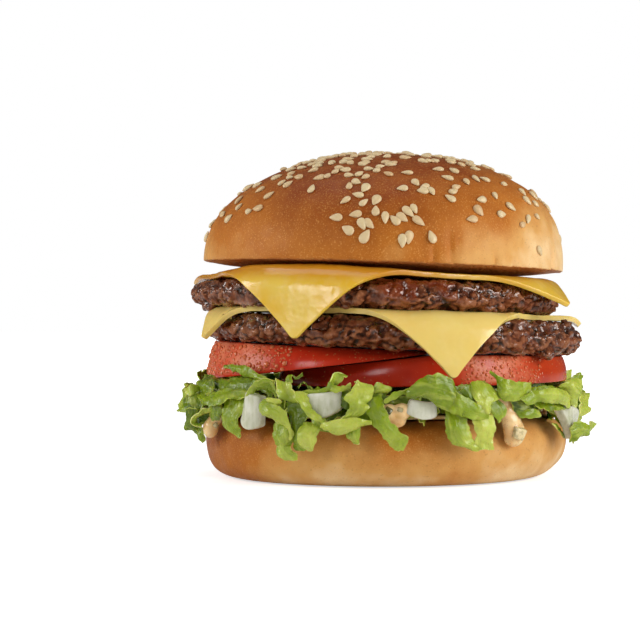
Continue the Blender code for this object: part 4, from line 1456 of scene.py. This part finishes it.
    Leaf(((-61.6, 58.7, 22.9, -58.2, 58.3, 23.7), (-61, 59.2, 21.1, -56.9, 58.9, 21.5), (-60.1, 59.2, 19.1, -56, 58.8, 20), (-58.8, 58.9, 17.7, -57.6, 58.7, 18.3)), (0.6, 0.4), 0.4, 0.1),  # short hang
    Leaf(((-61.5, 59, 31.6, -61, 59, 30.8), (-59.3, 60.3, 30.1, -59.6, 59.8, 28.7), (-57.4, 61.2, 29.2, -59.2, 60.2, 24.7), (-54.7, 61.3, 28.5, -57.4, 60.7, 23.5), (-51.6, 60.8, 28.1, -53.8, 60.6, 23.6), (-48.5, 60.3, 27.9, -49.8, 60.2, 24.4)), (0.5, 0.3), 0.8, 0.4),  # horizontal
    Leaf(((-46.3, 57.3, 26.6, -45.9, 57.3, 24.9), (-41.1, 58.6, 27.1, -40.8, 58.4, 25.3), (-31.8, 58, 26.2, -31.8, 58, 24.8)), (0.5, 0.4), 0.3, 0.1),  # olive back
    Leaf(((-53.5, 57, 23.8, -52.1, 57, 20.8), (-49.8, 57.3, 23.4, -49.7, 57.2, 20.4), (-45.9, 57.7, 22.5, -45.4, 57.6, 20.3)), (0.95, 0.95), 0.1, 0.1),  # pocket dark
    Leaf(((-51.1, 56.7, 20.5, -49.9, 57, 18.9), (-48.4, 57.8, 20.7, -48.2, 58, 18.4), (-45.8, 58.3, 20.9, -45.6, 58.5, 18.3), (-43.6, 58.2, 20.5, -42.4, 58.1, 18.7)), (0.75, 0.3), 0.5, 0.1),  # pocket leaf
    Leaf(((-46.9, 59.3, 22.7, -46.5, 59.3, 22.2), (-41.6, 58.3, 22.9, -42.5, 59.7, 20.6), (-35.7, 58.3, 22.4, -37.5, 59.7, 20.1), (-29.7, 59.3, 21.4, -30, 59.6, 20.5)), (0.6, 0.7), 0.2, 0.1),  # loop back
    Leaf(((-52.8, 60.2, 24.1, -50, 60.2, 22.3), (-50, 61.3, 25.3, -48.4, 60.8, 22.5), (-46.5, 61.8, 26.3, -45.2, 61.3, 22.9), (-41.7, 61.8, 26.4, -40.2, 61.3, 22.5), (-36, 61.3, 25.7, -34.6, 60.8, 21.6), (-30.9, 60.3, 23.7, -31.3, 60.2, 20.5)), (0.5, 0.05), 1.0, 0.15),  # loop front
    Leaf(((-34.8, 59, 26.6, -33.7, 59, 25.8), (-33, 60.5, 28.3, -31.9, 60.2, 24.8), (-30.2, 61.5, 28.8, -31.4, 60.7, 22.9), (-26.8, 62.2, 27.9, -30.1, 61, 20.8), (-28.7, 62, 24.7, -28.9, 61.2, 21.7)), (0.35, 0.05), 0.8, 0.25),  # pale right
    Leaf(((-31.5, 58.5, 25.6, -29, 58.5, 25.2), (-30.7, 59, 23.4, -26.8, 60, 23.5), (-29.2, 59.5, 21.7, -26.1, 60, 21.8)), (0.6, 0.7), 0.2, 0.1),  # dark right
    Leaf(((-30.2, 60, 14.9, -28.8, 59.5, 11.2), (-29.2, 61, 16.4, -26.6, 60.2, 11.4), (-26.6, 62, 16.5, -23.7, 61.5, 12.6), (-23.2, 62.5, 15.7, -21.4, 62.5, 13.5), (-22.1, 63, 16.8, -17.7, 63, 15.8)), (0.6, 0.2), 0.6, 0.15),  # right tip
    Leaf(((-32.9, 55.8, 16.3, -30.6, 55.9, 16.1), (-29.7, 56.4, 14.1, -27.4, 56.5, 14), (-26.6, 56.2, 12.1, -24.9, 56.3, 12)), (0.6, 0.6), 0.1, 0.05),  # sliver
)


@dataclass(frozen=True)
class Spray:
    """A patch of drops on a slice's skin: where round the slice, how many, and their sizes."""

    start: float
    stop: float
    count: int
    small: float
    large: float


@dataclass
class Drops:
    """Beads of water on the skin of one tomato slice."""

    tomato: TomatoSlice
    sprays: tuple[Spray, ...]
    seed: int

    def build(self, skin: BVHTree) -> bmesh.types.BMesh:
        """All drops of the slice as one shape.

        Args:
            skin: The finished slice.

        Returns:
            The drops.
        """
        draw = np.random.default_rng(self.seed)
        seed = bmesh.new()
        bmesh.ops.create_uvsphere(seed, u_segments=8, v_segments=6, radius=1.0)
        ball = rows_of(seed) * (1.05, 1.0, 0.55)
        copies = []
        fruit = self.tomato
        for spray in self.sprays:
            taken: list[tuple[Vector, float]] = []
            for _ in range(spray.count):
                angle, share = draw.uniform(spray.start, spray.stop), draw.uniform(0.06, 0.94)
                half = 0.5 * (spray.small + (spray.large - spray.small) * draw.uniform() ** 2.2)
                inside = round_stack(angle, fruit.radius - 12, 0) + Vector((fruit.middle, fruit.shift, 0))
                edge_x = fruit.middle + fruit.radius * math.cos(math.radians(angle))
                low, high = fruit.under(edge_x), float(fruit.over(np.array(edge_x)))
                inside.z = low + share * (high - low)
                hit, normal, _, _ = skin.ray_cast(inside, round_stack(angle, 1, 0))
                if hit is None or any((hit - place).length < half + size for place, size in taken):
                    continue
                taken.append((hit, half))
                stand = Matrix.Translation(hit + normal * 0.12 * half) @ outward_frame(normal, draw.uniform(-90, 90))
                copies.append(placed(ball * half, stand))
        return sow(seed, copies)

    def dress(self, name: str, tomato: bpy.types.Object, finish: bpy.types.Material) -> bpy.types.Object:
        """Sets the drops on the finished slice."""
        return publish(self.build(skin_of(tomato)), name, finish, 180)


# ---------------------------------------------------------------------------------------------
# Lettuce


def smooth_path(points: Rows, count: int) -> Rows:
    """A Catmull-Rom curve through the points.

    Args:
        points: One row of numbers for each point.
        count: How many rows the curve has.

    Returns:
        The curve's rows.
    """
    padded = np.vstack((2 * points[0] - points[1], points, 2 * points[-1] - points[-2]))
    where = np.linspace(0, len(points) - 1 - 1e-9, count)
    span = where.astype(int)
    t = (where - span)[:, None]
    a, b, c, d = (padded[span + k] for k in range(4))
    return 0.5 * (2 * b + (c - a) * t + (2 * a - 5 * b + 4 * c - d) * t**2 + (3 * b - a - 3 * c + d) * t**3)


@dataclass
class LeafCutter:
    """Lays pieces of leaf into one growing shape."""

    seed: int
    cell: float = 0.85

    def __post_init__(self) -> None:
        """Starts an empty shape."""
        self.edit = bmesh.new()
        self.draw = np.random.default_rng(self.seed)
        self.rows: list[Rows] = []
        self.values: dict[str, list[Rows]] = {"shade": [], "across": [], "along": []}

    def lay(self, leaf: Leaf) -> None:
        """Adds a piece of leaf.

        Args:
            leaf: The piece.
        """
        table = np.array(leaf.rows, float)
        one, other = (
            np.column_stack((part[:, 1] * np.cos(np.radians(part[:, 0])), part[:, 1] * np.sin(np.radians(part[:, 0])), part[:, 2]))
            for part in (table[:, :3], table[:, 3:])
        )
        self.stretch(one, other, leaf.shade, leaf.cup, leaf.ruffle)

    def stretch(self, one: Rows, other: Rows, shade: tuple[float, float], cup: float, ruffle: float) -> None:
        """Adds a piece of leaf between two edges.

        Args:
            one: Points along the first edge.
            other: As many points along the second.
            shade: How green its start and its end are, 0 to 1.
            cup: How far its middle stands out, in millimetres.
            ruffle: How far its edges wave, in millimetres.
        """
        middle, half = (one + other) / 2, (other - one) / 2
        length = np.linalg.norm(np.diff(middle, axis=0), axis=1).sum()
        long = int(np.clip(length / self.cell, 8, 44))
        wide = int(np.clip(2 * np.linalg.norm(half, axis=1).max() / self.cell, 3, 16))
        curve = smooth_path(np.hstack((middle, half)), long + 1)
        middle, half = curve[:, :3], curve[:, 3:]
        ahead = np.gradient(middle, axis=0)
        face = np.cross(half, ahead)
        face /= np.linalg.norm(face, axis=1)[:, None] + 1e-9
        if (face * (middle * (1, 1, 0))).sum() < 0:
            face = -face
        ahead /= np.linalg.norm(ahead, axis=1)[:, None] + 1e-9
        tile = bmesh.new()
        bmesh.ops.create_grid(tile, x_segments=long, y_segments=wide, size=1.0)
        mesh = bpy.data.meshes.new("leaf")
        grid = rows_of(tile)
        tile.to_mesh(mesh)
        tile.free()
        self.edit.from_mesh(mesh)
        bpy.data.meshes.remove(mesh)
        at = np.round((grid[:, 0] + 1) / 2 * long).astype(int)
        v, u = grid[:, 1], at / long
        s = np.concatenate(([0], np.cumsum(np.linalg.norm(np.diff(middle, axis=0), axis=1))))[at]
        reach = v * np.linalg.norm(half, axis=1)[at]
        phase, lag = self.draw.uniform(0, TURN, 5), self.draw.uniform(0, 300)
        local = np.column_stack((s + lag, reach, np.full(len(s), lag)))
        jag = 0.6 * bumps(local * (1, 0.2, 1), 1.7, 2) * abs(v) ** 3
        frill = ruffle * abs(v) ** 1.5 * (np.sin(s * 1.2 + phase[0] + 1.7 * v) + 0.8 * np.sin(s * 2.6 + phase[1] - v))
        crease = 0.7 * bumps(local, 3.2, 2, 5.0) + 0.3 * abs(bumps(local, 2.2, 1, 6.0))
        torn = (0.5 * bumps(local * (0, 1, 1), 1.6, 2, 9.0)) * (abs(2 * u - 1) ** 8)
        lift = cup * (1 - v * v) * np.sin(math.pi * np.clip(u, 0.12, 0.88)) + frill + crease
        side = half / (np.linalg.norm(half, axis=1)[:, None] + 1e-9)
        place = middle[at] + half[at] * v[:, None] + side[at] * (jag * np.sign(v))[:, None]
        self.rows.append(place + face[at] * lift[:, None] + ahead[at] * torn[:, None])
        self.values["shade"].append(shade[0] + (shade[1] - shade[0]) * u)
        self.values["across"].append(reach)
        self.values["along"].append(s + lag)

    def ribbon(self, path: Sequence[tuple[float, ...]], shade: tuple[float, float], cup: float, ruffle: float) -> None:
        """Adds a strip of leaf along a path round the stack.

        Args:
            path: Points as angle, radius, height, width and roll, where a roll of 0 degrees lies
                the strip flat against the stack.
            shade: How green its start and its end are, 0 to 1.
            cup: How far its middle stands out, in millimetres.
            ruffle: How far its edges wave, in millimetres.
        """
        spine = np.array([round_stack(a, r, z) for a, r, z, _, _ in path], float)
        width, roll = np.array([row[3] for row in path]), np.radians([row[4] for row in path])
        ahead = np.gradient(spine, axis=0)
        ahead /= np.linalg.norm(ahead, axis=1)[:, None] + 1e-9
        out = spine * (1, 1, 0)
        out = out / (np.linalg.norm(out, axis=1)[:, None] + 1e-9) + np.array((0, 0, 0.35))
        face = out - ahead * (out * ahead).sum(axis=1)[:, None]
        face /= np.linalg.norm(face, axis=1)[:, None] + 1e-9
        side = np.cross(ahead, face) * np.cos(roll)[:, None] - face * np.sin(roll)[:, None]
        half = side * (0.5 * width)[:, None]
        self.stretch(spine - half, spine + half, shade, cup, ruffle)

    def finish(self) -> bmesh.types.BMesh:
        """The shape with all its leaves in place."""
        move_to(self.edit, np.vstack(self.rows))
        for name, values in self.values.items():
            lay_values(self.edit, name, np.concatenate(values))
        return self.edit


def strew_leaves(cutter: LeafCutter) -> None:
    """Lays the leaves that no table lists: in the bed, round its rim and over the heel.

    Args:
        cutter: What lays them.
    """
    draw = cutter.draw
    for index in range(56):
        angle = -180 + 360 * (index + draw.uniform(-0.3, 0.3)) / 56
        front = -172 < angle < -8
        reach, high = (50.0, 24.0) if front else (54.0, 25.0 + 3.2 * (100 < angle < 172))
        sweep, low = draw.uniform(8, 20) * draw.choice((-1, 1)), draw.uniform(20.0, high)
        tilt, wide = draw.uniform(-30, 45), draw.uniform(5, 7.5)
        path = [
            (angle + sweep * (t - 0.5), reach + draw.uniform(-1.5, 1.5), low + draw.uniform(-1.4, 1.4), wide, tilt + draw.uniform(-35, 35))
            for t in (0, 0.33, 0.67, 1)
        ]
        # The ones in front lie in the bed behind the front leaves and are deeper green as painted shade.
        shade = draw.uniform(0.7, 1.0) if front else draw.uniform(0.3, 0.9)
        cutter.ribbon(path, (shade, draw.uniform(0.4, 1.0)), draw.uniform(-0.8, 1.2), 0.5)
    for index in range(26):
        angle = -4 + 188 * (index + draw.uniform(-0.35, 0.35)) / 26
        lean, low = draw.uniform(-7, 7), draw.uniform(7.5, 16)
        wide, roll = draw.uniform(5, 8.5), draw.uniform(-25, 25)
        path = [
            (angle - lean * 0.6, 48, 25.0, wide, 0),
            (angle - lean * 0.3, 53.5, 25.8, wide, roll * 0.3),
            (angle, 57.2, 22.0, wide * 1.05, roll * 0.6),
            (angle + lean * 0.5, 57.4, (22 + low) / 2, wide, roll),
            (angle + lean, 55.4 + draw.uniform(0, 1.8), low, wide * draw.uniform(0.35, 0.9), roll * 1.6),
        ]
        cutter.ribbon(path, (draw.uniform(0.2, 0.8), draw.uniform(0.0, 0.5)), draw.uniform(-1.0, 1.4), draw.uniform(0.2, 0.6))
    for index in range(26):
        angle = -2 + 184 * (index + draw.uniform(-0.35, 0.35)) / 26
        sweep = draw.uniform(9, 18) * draw.choice((-1, 1))
        high, dip, wide = draw.uniform(21, 26.5), draw.uniform(2, 6), draw.uniform(3.5, 7)
        path = [
            (angle, 55, high, wide, draw.uniform(-30, 30)),
            (angle + sweep * 0.3, 58.2, high + 1.2, wide, draw.uniform(-30, 50)),
            (angle + sweep * 0.65, 58.6, high - dip * 0.5, wide, draw.uniform(-20, 60)),
            (angle + sweep, 56.2, high - dip, wide * draw.uniform(0.3, 0.9), draw.uniform(-40, 40)),
        ]
        cutter.ribbon(path, (draw.uniform(0.1, 0.7), draw.uniform(0.0, 0.6)), draw.uniform(-1.0, 1.2), draw.uniform(0.3, 0.7))


@dataclass
class LettuceBed:
    """Shredded lettuce: a crumpled core under leaves that fill its rim and spill over the heel."""

    base: float = 19.7
    top: float = 25.4
    reach: float = 50.0
    seed: int = 7
    leaf: float = 0.4

    def core(self) -> bmesh.types.BMesh:
        """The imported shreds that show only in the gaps."""
        profile = [
            *((share * self.reach, self.top) for share in np.linspace(0, 0.93, 24)),
            *arc((self.reach - 2.5, (self.base + self.top) / 2), (2.5, (self.top - self.base) / 2), (72, -72), 9),
            *((share * self.reach, self.base) for share in (0.93, 0.7, 0.35, 0)),
        ]
        edit = lathe(profile, 200)
        rows, normals = rows_of(edit), normals_of(edit)
        outer = smooth_step((np.hypot(rows[:, 0], rows[:, 1]) - 30) / 14)
        upper = smooth_step((rows[:, 2] - self.base - 0.5) / 2)
        folds = 1.1 * bumps(rows, 3.4, 2, 2.0) - 0.6 * abs(bumps(rows, 5.5, 1, 9.0))
        rows += normals * (folds * outer * upper)[:, None]
        move_to(edit, rows)
        lay_values(edit, "shade", 0.95 + 0 * outer)
        lay_values(edit, "across", rows[:, 2])
        lay_values(edit, "along", rows[:, 0] + rows[:, 1])
        return edit

    def dress(self) -> list[bpy.types.Object]:
        """Builds the core and lays the leaves over it, in two pieces.

        Returns:
            The core and the leaves.
        """
        leaf = LeafFinish("lettuce leaf").material()
        rib = LeafFinish("lettuce cut edge", paint(222, 226, 142), paint(204, 212, 96), paint(168, 182, 60)).material()
        shaded = LeafFinish("lettuce in the shade", paint(120, 140, 56), paint(84, 106, 28), paint(56, 72, 20)).material()
        bed = publish(self.core(), "lettuce_core", shaded, 180)
        pieces = [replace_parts(bed, "lettuce")]
        loose, front = LeafCutter(self.seed + 1), LeafCutter(self.seed + 2, 0.62)
        strew_leaves(loose)
        for shred in FRONT_LEAVES:
            front.lay(shred)
        for name, cutter in (("lettuce_leaves", loose), ("lettuce_front_leaves", front)):
            shape = cutter.finish()
            rim = [edge.is_boundary for edge in shape.edges]
            piece = publish(shape, name, leaf, 180)
            piece.data.attributes.new("sharp_edge", "BOOLEAN", "EDGE").data.foreach_set("value", rim)
            piece.data.materials.append(rib)
            thick = piece.modifiers.new("Leaf", "SOLIDIFY")
            thick.thickness = self.leaf * MM
            thick.offset = 0.0
            thick.material_offset_rim = 1
            pieces.append(piece)
        return pieces


# ---------------------------------------------------------------------------------------------
# Onion, sauce and relish


@dataclass
class OnionDice:
    """Diced onion, each piece one of a bulb's curved layers."""

    # angle, radius, height, width, height of the piece, thickness, turn, bow, how much it widens
    pieces: tuple[tuple[float, ...], ...] = (
        (-128.5, 56.4, 20.4, 6.4, 9.8, 3.0, 12, 1.0, 0.0),
        (-105.5, 56.2, 22.6, 9.2, 6.6, 3.2, -14, 0.9, -0.25),
        (-79.5, 56.0, 21.2, 7.6, 4.8, 3.4, 6, 0.7, 0.0),
        (-27.5, 57.6, 17.8, 12.6, 6.6, 3.0, 30, 1.2, 0.7),
        (52, 56.4, 21.2, 8.4, 7.0, 3.2, -20, 0.9, 0.1),
        (95, 56.4, 20.6, 7.4, 8.6, 3.0, 15, 0.9, -0.1),
        (168, 56.6, 21.4, 8.8, 6.4, 3.2, -12, 1.0, 0.2),
    )
    rounding: float = 0.6

    def build(self, number: int) -> bmesh.types.BMesh:
        """One piece, in place.

        Args:
            number: Which piece, from 1.

        Returns:
            Its shape.
        """
        angle, radius, height, width, tall, thick, turn, bow, taper = self.pieces[number - 1]
        edit = bmesh.new()
        bmesh.ops.create_cube(edit, size=1.0)
        bmesh.ops.scale(edit, vec=(width, thick, tall), verts=edit.verts)
        bmesh.ops.bevel(edit, geom=edit.edges, offset=self.rounding, segments=2, profile=0.5, affect="EDGES", material=-1)
        bmesh.ops.subdivide_edges(edit, edges=edit.edges, cuts=5, use_grid_fill=True)
        for _ in range(2):
            bmesh.ops.smooth_vert(edit, verts=edit.verts, factor=0.5, use_axis_x=True, use_axis_y=True, use_axis_z=True)
        rows = rows_of(edit)
        rows[:, 0] *= 1 + 0.26 * rows[:, 2] / tall * (-1) ** number
        rows[:, 2] *= (1 - 0.15 * (2 * rows[:, 0] / width) ** 2) * (1 + 2 * taper * rows[:, 0] / width)
        rows[:, 1] += bow * ((2 * rows[:, 0] / width) ** 2 - 0.5)
        rows[:, 2] += 0.6 * (2 * rows[:, 0] / width) ** 2
        rows += 0.3 * np.column_stack([bumps(rows, 5.5, 1, number + k) for k in (0, 20, 40)])
        move_to(edit, rows)
        stand = Matrix.Translation(round_stack(angle, radius, height))
        stand = stand @ Matrix.Rotation(math.radians(angle + 90), 4, "Z") @ Matrix.Rotation(math.radians(turn), 4, "Y")
        bmesh.ops.transform(edit, matrix=stand, verts=edit.verts)
        return edit

    def dress(self) -> list[bpy.types.Object]:
        """Builds every piece."""
        finish = OnionFinish().material()
        made = []
        for number in range(1, len(self.pieces) + 1):
            piece = publish(self.build(number), f"onion_dice_{number}", finish, 38)
            made.append(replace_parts(piece, f"onion_{number}"))
        return made


@dataclass
class Sauce:
    """Burger sauce: a layer on the heel, and what has been pressed out over its edge."""

    base: float = 18.15
    thickness: float = 1.2
    radius: float = 46.0
    # angle, radius, height, half width, half depth, half height
    blobs: tuple[tuple[float, ...], ...] = (
        (-150.5, 55.2, 14.9, 2.3, 1.9, 2.7),
        (-149.6, 54.0, 18.2, 2.1, 1.8, 2.4),
        (-53.0, 54.2, 22.8, 2.3, 1.8, 2.2),
        (-52.0, 54.8, 20.2, 2.7, 1.8, 2.6),
        (-51.0, 55.2, 17.8, 3.0, 1.8, 2.6),
        (-50.2, 55.3, 15.4, 3.4, 1.9, 2.8),
        (-49.8, 54.8, 13.0, 3.0, 1.8, 2.2),
        (-88.6, 55.0, 20.4, 2.5, 1.9, 2.3),
        (-84.8, 55.3, 20.8, 2.4, 1.8, 2.0),
        (-86.8, 54.4, 18.4, 3.0, 1.5, 1.8),
        (-91.5, 54.2, 19.0, 1.6, 1.5, 1.5),
        (24, 53.6, 17.2, 2.6, 1.5, 2.3),
        (27, 54.0, 14.6, 1.6, 1.2, 2.0),
        (78, 53.4, 17.6, 2.2, 1.5, 1.6),
        (131, 53.8, 17.0, 2.0, 1.5, 2.6),
        (130, 53.6, 13.8, 1.4, 1.2, 1.8),
        (174, 53.6, 17.2, 2.2, 1.4, 1.8),
    )
    # angle, radius, height, size, turn, shade from clear to olive
    relish: tuple[tuple[float, ...], ...] = (
        (-50.4, 57.1, 14.6, 3.1, 12, 0.0),
        (-88.6, 56.8, 21.0, 1.7, 30, 1.0),
        (-85.4, 57.0, 21.4, 1.3, 12, 0.5),
        (-147.8, 54.9, 15.8, 1.2, 20, 0.4),
        (26, 55.2, 16.6, 1.8, 25, 0.9),
        (76, 55.0, 18.4, 1.6, 10, 0.2),
        (132, 55.2, 15.4, 1.9, 35, 0.8),
    )

    def layer(self) -> bmesh.types.BMesh:
        """The layer under the lettuce, lobed where it was squeezed out."""
        half = self.thickness / 2
        middle = self.base + half
        edge = arc((self.radius - half, middle), (half, half), (90, -90), 9)
        edit = lathe([(0.0, middle + half), (30.0, middle + half), *edge, (30.0, middle - half), (0.0, middle - half)], 160)
        rows = rows_of(edit)
        away = np.hypot(rows[:, 0], rows[:, 1])
        lobes = waves_at(np.degrees(np.arctan2(rows[:, 1], rows[:, 0])), ((1.0, 5, 30), (0.7, 8, 100)))
        rows[:, :2] *= (1 + lobes / self.radius * smooth_step(away / 30))[:, None]
        move_to(edit, rows)
        return edit

    def spill(self) -> bmesh.types.BMesh:
        """The blobs and drips, fused where they touch."""
        edit = bmesh.new()
        for angle, radius, height, wide, deep, tall in self.blobs:
            made = bmesh.ops.create_icosphere(edit, subdivisions=3, radius=1.0)["verts"]
            stand = Matrix.Translation(round_stack(angle, radius, height)) @ Matrix.Rotation(math.radians(angle + 90), 4, "Z")
            bmesh.ops.transform(edit, matrix=stand @ Matrix.Diagonal((wide, deep, tall, 1.0)), verts=made)
        edit = fuse(edit, 0.35)
        for _ in range(8):
            bmesh.ops.smooth_vert(edit, verts=edit.verts, factor=0.5, use_axis_x=True, use_axis_y=True, use_axis_z=True)
        rows, normals = rows_of(edit), normals_of(edit)
        move_to(edit, rows + normals * (0.3 + 0.12 * bumps(rows, 3.0, 2, 3.0))[:, None])
        return edit

    def bits(self) -> bmesh.types.BMesh:
        """The chopped relish."""
        seed = bmesh.new()
        bmesh.ops.create_cube(seed, size=1.0)
        bmesh.ops.bevel(seed, geom=seed.edges, offset=0.18, segments=3, profile=0.5, affect="EDGES", material=-1)
        cube = rows_of(seed) * (1.15, 0.9, 1.0)
        copies, shades = [], []
        for number, (angle, radius, height, size, turn, shade) in enumerate(self.relish):
            stand = Matrix.Translation(round_stack(angle, radius, height)) @ Matrix.Rotation(math.radians(angle + 90), 4, "Z")
            stand = stand @ Matrix.Rotation(math.radians(turn), 4, "Y") @ Matrix.Rotation(math.radians(20 + 40 * number), 4, "X")
            copies.append(placed(cube * size * (1 + 0.2 * bumps(cube + number, 1.1, 1))[:, None], stand))
            shades.append(np.full(len(cube), shade))
        return sow(seed, copies, shade=shades)

    def dress(self) -> list[bpy.types.Object]:
        """Builds the layer, the spill and the relish."""
        finish = SauceFinish("burger sauce").material()
        made = [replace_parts(publish(self.layer(), "sauce_layer", finish, 180), "sauce")]
        made.append(publish(self.spill(), "sauce_spill", finish, 180))
        made.append(publish(self.bits(), "relish_bits", RelishFinish().material(), 60))
        return made


# ---------------------------------------------------------------------------------------------
# The studio


@dataclass(frozen=True)
class Softbox:
    """A square soft light that faces the burger."""

    name: str
    place: tuple[float, float, float]
    size: float
    power: float
    tint: tuple[float, float, float] = (1.0, 1.0, 1.0)


@dataclass
class Studio:
    """A pale floor, soft lights and the camera."""

    sky: float = 0.32
    shine: float = 0.08
    glow: float = 0.6
    aim: tuple[float, float, float] = (0.0, 0.0, 0.045)
    boxes: tuple[Softbox, ...] = (
        Softbox("key", (0.62, -0.34, 0.24), 0.42, 3.7),
        Softbox("side", (-0.66, -0.10, 0.26), 0.30, 1.9),
        Softbox("top", (-0.15, 0.05, 0.75), 0.50, 1.2),
        Softbox("glint", (-0.40, -0.55, 0.30), 0.15, 0.6),
    )

    def build(self) -> None:
        """Sets up everything round the burger."""
        bpy.context.scene.view_settings.view_transform = "Standard"
        self.world()
        self.floor()
        for box in self.boxes:
            self.light(box)
        self.camera()

    def world(self) -> None:
        """A plain white surround, seen brighter than it lights and dimmer in reflections."""
        world = bpy.data.worlds.new("studio")
        world.use_nodes = True
        tree = world.node_tree
        tree.nodes.clear()
        path = tree.nodes.new("ShaderNodeLightPath")
        lights = []
        for strength in (self.sky, self.shine, 1.0):
            light = tree.nodes.new("ShaderNodeBackground")
            light.inputs["Strength"].default_value = strength
            light.inputs["Color"].default_value = (1, 1, 1, 1)
            lights.append(light.outputs[0])
        shown = lights[0]
        for ray, light in (("Is Glossy Ray", lights[1]), ("Is Camera Ray", lights[2])):
            mix = tree.nodes.new("ShaderNodeMixShader")
            tree.links.new(path.outputs[ray], mix.inputs[0])
            tree.links.new(shown, mix.inputs[1])
            tree.links.new(light, mix.inputs[2])
            shown = mix.outputs[0]
        out = tree.nodes.new("ShaderNodeOutputWorld")
        tree.links.new(shown, out.inputs["Surface"])
        bpy.context.scene.world = world

    def floor(self) -> None:
        """A wide, plain floor just under the heel, which glows for the camera alone as painted light, more strongly
        further from the burger.
        """
        edit = bmesh.new()
        bmesh.ops.create_grid(edit, x_segments=4, y_segments=4, size=6.0)
        bmesh.ops.translate(edit, vec=(0, 0, -0.0003), verts=edit.verts)
        mesh = bpy.data.meshes.new("floor")
        edit.to_mesh(mesh)
        edit.free()
        w = Wiring("white floor")
        w.drive("Base Color", w.mix(w.grain(60, 1.0), paint(250, 250, 250), paint(248, 248, 248)))
        seen = w.node("ShaderNodeLightPath").outputs["Is Camera Ray"]
        away = w.math("MAXIMUM", w.math("ABSOLUTE", w.axis("X"), 0.0), w.math("ABSOLUTE", w.axis("Y"), 0.0))
        glow = w.between(away, 0.15, 1.0, (self.glow, 1.2))
        w.drive("Emission Strength", w.math("MULTIPLY", seen, glow))
        w.fix(Roughness=0.9, Specular_IOR_Level=0.2, Emission_Color=(1, 1, 1, 1))
        mesh.materials.append(w.material)
        floor = bpy.data.objects.new("floor", mesh)
        bpy.context.scene.collection.objects.link(floor)

    def light(self, box: Softbox) -> None:
        """Adds one softbox, turned to the burger."""
        lamp = bpy.data.lights.new(box.name, "AREA")
        lamp.shape = "SQUARE"
        lamp.size = box.size
        lamp.energy = box.power
        lamp.color = box.tint
        holder = bpy.data.objects.new(box.name, lamp)
        holder.location = box.place
        away = Vector(box.place) - Vector(self.aim)
        holder.rotation_euler = away.to_track_quat("Z", "Y").to_euler()
        bpy.context.scene.collection.objects.link(holder)

    def camera(self) -> None:
        """A long lens, level with the middle of the stack, with the burger right of centre."""
        lens = bpy.data.cameras.new("camera")
        lens.sensor_width = 36.0
        lens.lens = 105.47
        lens.shift_x = -0.0984
        lens.clip_start = 0.01
        camera = bpy.data.objects.new("camera", lens)
        camera.location = (0.0, -0.55, 0.045)
        camera.rotation_euler = (math.radians(90), 0.0, 0.0)
        bpy.context.scene.collection.objects.link(camera)
        bpy.context.scene.camera = camera


# ---------------------------------------------------------------------------------------------
# The burger


def left_tomato_top(x: Rows) -> Rows:
    """The top of the left tomato slice, which carries the lower patty."""
    return 37.3 - 0.045 * x - GAP


def right_tomato_top(x: Rows) -> Rows:
    """The top of the right slice: under the left slice, then flat, then under the patty."""
    return np.minimum(np.minimum(35.4, left_tomato_top(x)), 34.2 + 0.118 * x - GAP)


def main() -> None:
    """Builds the studio and then the burger from its heel to its seeds."""
    logging.basicConfig(level=logging.INFO, format="%(name)s: %(message)s")
    Studio().build()

    Heel().dress()
    Sauce().dress()
    LettuceBed().dress()
    OnionDice().dress()

    flesh, water = TomatoFinish().material(), WaterFinish().material()
    right = TomatoSlice("tomato_right_slice", 11.0, (26.8, 0.012), right_tomato_top, 1.2, ((-80, -34),), (-66, -30))
    left = TomatoSlice("tomato_left_slice", -9.8, (34.2, 0.118), left_tomato_top, 3.0, ((-190, -112),), (400, 500), end=12.0)
    right_sprays = (Spray(-76, -36, 190, 0.45, 1.4), Spray(-180, 180, 150, 0.25, 0.5))
    left_sprays = (Spray(-180, -112, 420, 0.55, 1.8), Spray(120, 180, 150, 0.4, 1.3), Spray(-125, -60, 90, 0.25, 0.5))
    Drops(right, right_sprays, 5).dress("drops_right", right.dress("tomato_right", flesh), water)
    Drops(left, left_sprays, 6).dress("drops_left", left.dress("tomato_left", flesh), water)

    lower = Patty(
        "lower_patty", 2.6, 54.0, 37.3, -0.045, 45.2, ((0.6, 2, 0), (0.6, 3, 350), (0.5, 6, 355), (0.4, 9, 200)), 11,
        (Lump(-10, 56.2, 39.5, 2, 2.2, 1.2, 0), Lump(-18, 54.2, 43.6, 3, 2.2, 1.6, 0), Lump(-31, 53.5, 35.6, 4, 2.4, 1.6, 0),
         Lump(-37, 51.3, 43.6, 5, 2.6, 1.5, 0), Lump(-26, 52.3, 43.6, 4, 2.6, 1.5, 0), Lump(-8, 53, 43.2, 4, 2.5, 1.2, 0),
         Lump(-46, 51.8, 44.0, 5, 2.6, 1.5, 0), Lump(-31, 51.2, 43.8, 5, 2.6, 1.5, 0)),
        curl=0.8,
    )
    upper = Patty(
        "upper_patty", -1.6, 53.3, 47.7, LEAN, 55.9, ((0.5, 2, 10), (0.5, 3, 175), (0.4, 7, 190), (0.3, 11, 20)), 23,
        (Lump(-175, 53.2, 51.4, 2, 2.2, 1.5, 0), Lump(-163, 51.4, 49.0, 4, 2.6, 1.9, 0), Lump(-80, 52.0, 50.2, 5, 1.8, 1.2, 8)),
        (-98, -62, 1.0),
        dip=1.5,
    )
    cheese = CheeseFinish().material()
    lower_meat = lower.dress("patty_lower")
    upper_meat = upper.dress("patty_upper")
    CheeseSlice(
        "lower_cheese", lower, ((-73.7, 69.7, 80), (8, 57, 48), (106, 51, 30), (205, 63, 63)), (0.0, 0.045), 0.2, 0.0, 0.45,
        seed=3.0,
    ).dress("cheese_lower", lower_meat, cheese)
    CheeseSlice(
        "upper_cheese", upper, ((-112.8, 70.1, 82), (-29, 63.3, 40), (66, 52, 30), (168, 56.2, 76)), (0.0, -0.05), seed=9.0
    ).dress("cheese_upper", upper_meat, cheese)

    crown = Crown().dress()
    Sesame().dress(crown)


if __name__ == "__main__":
    main()
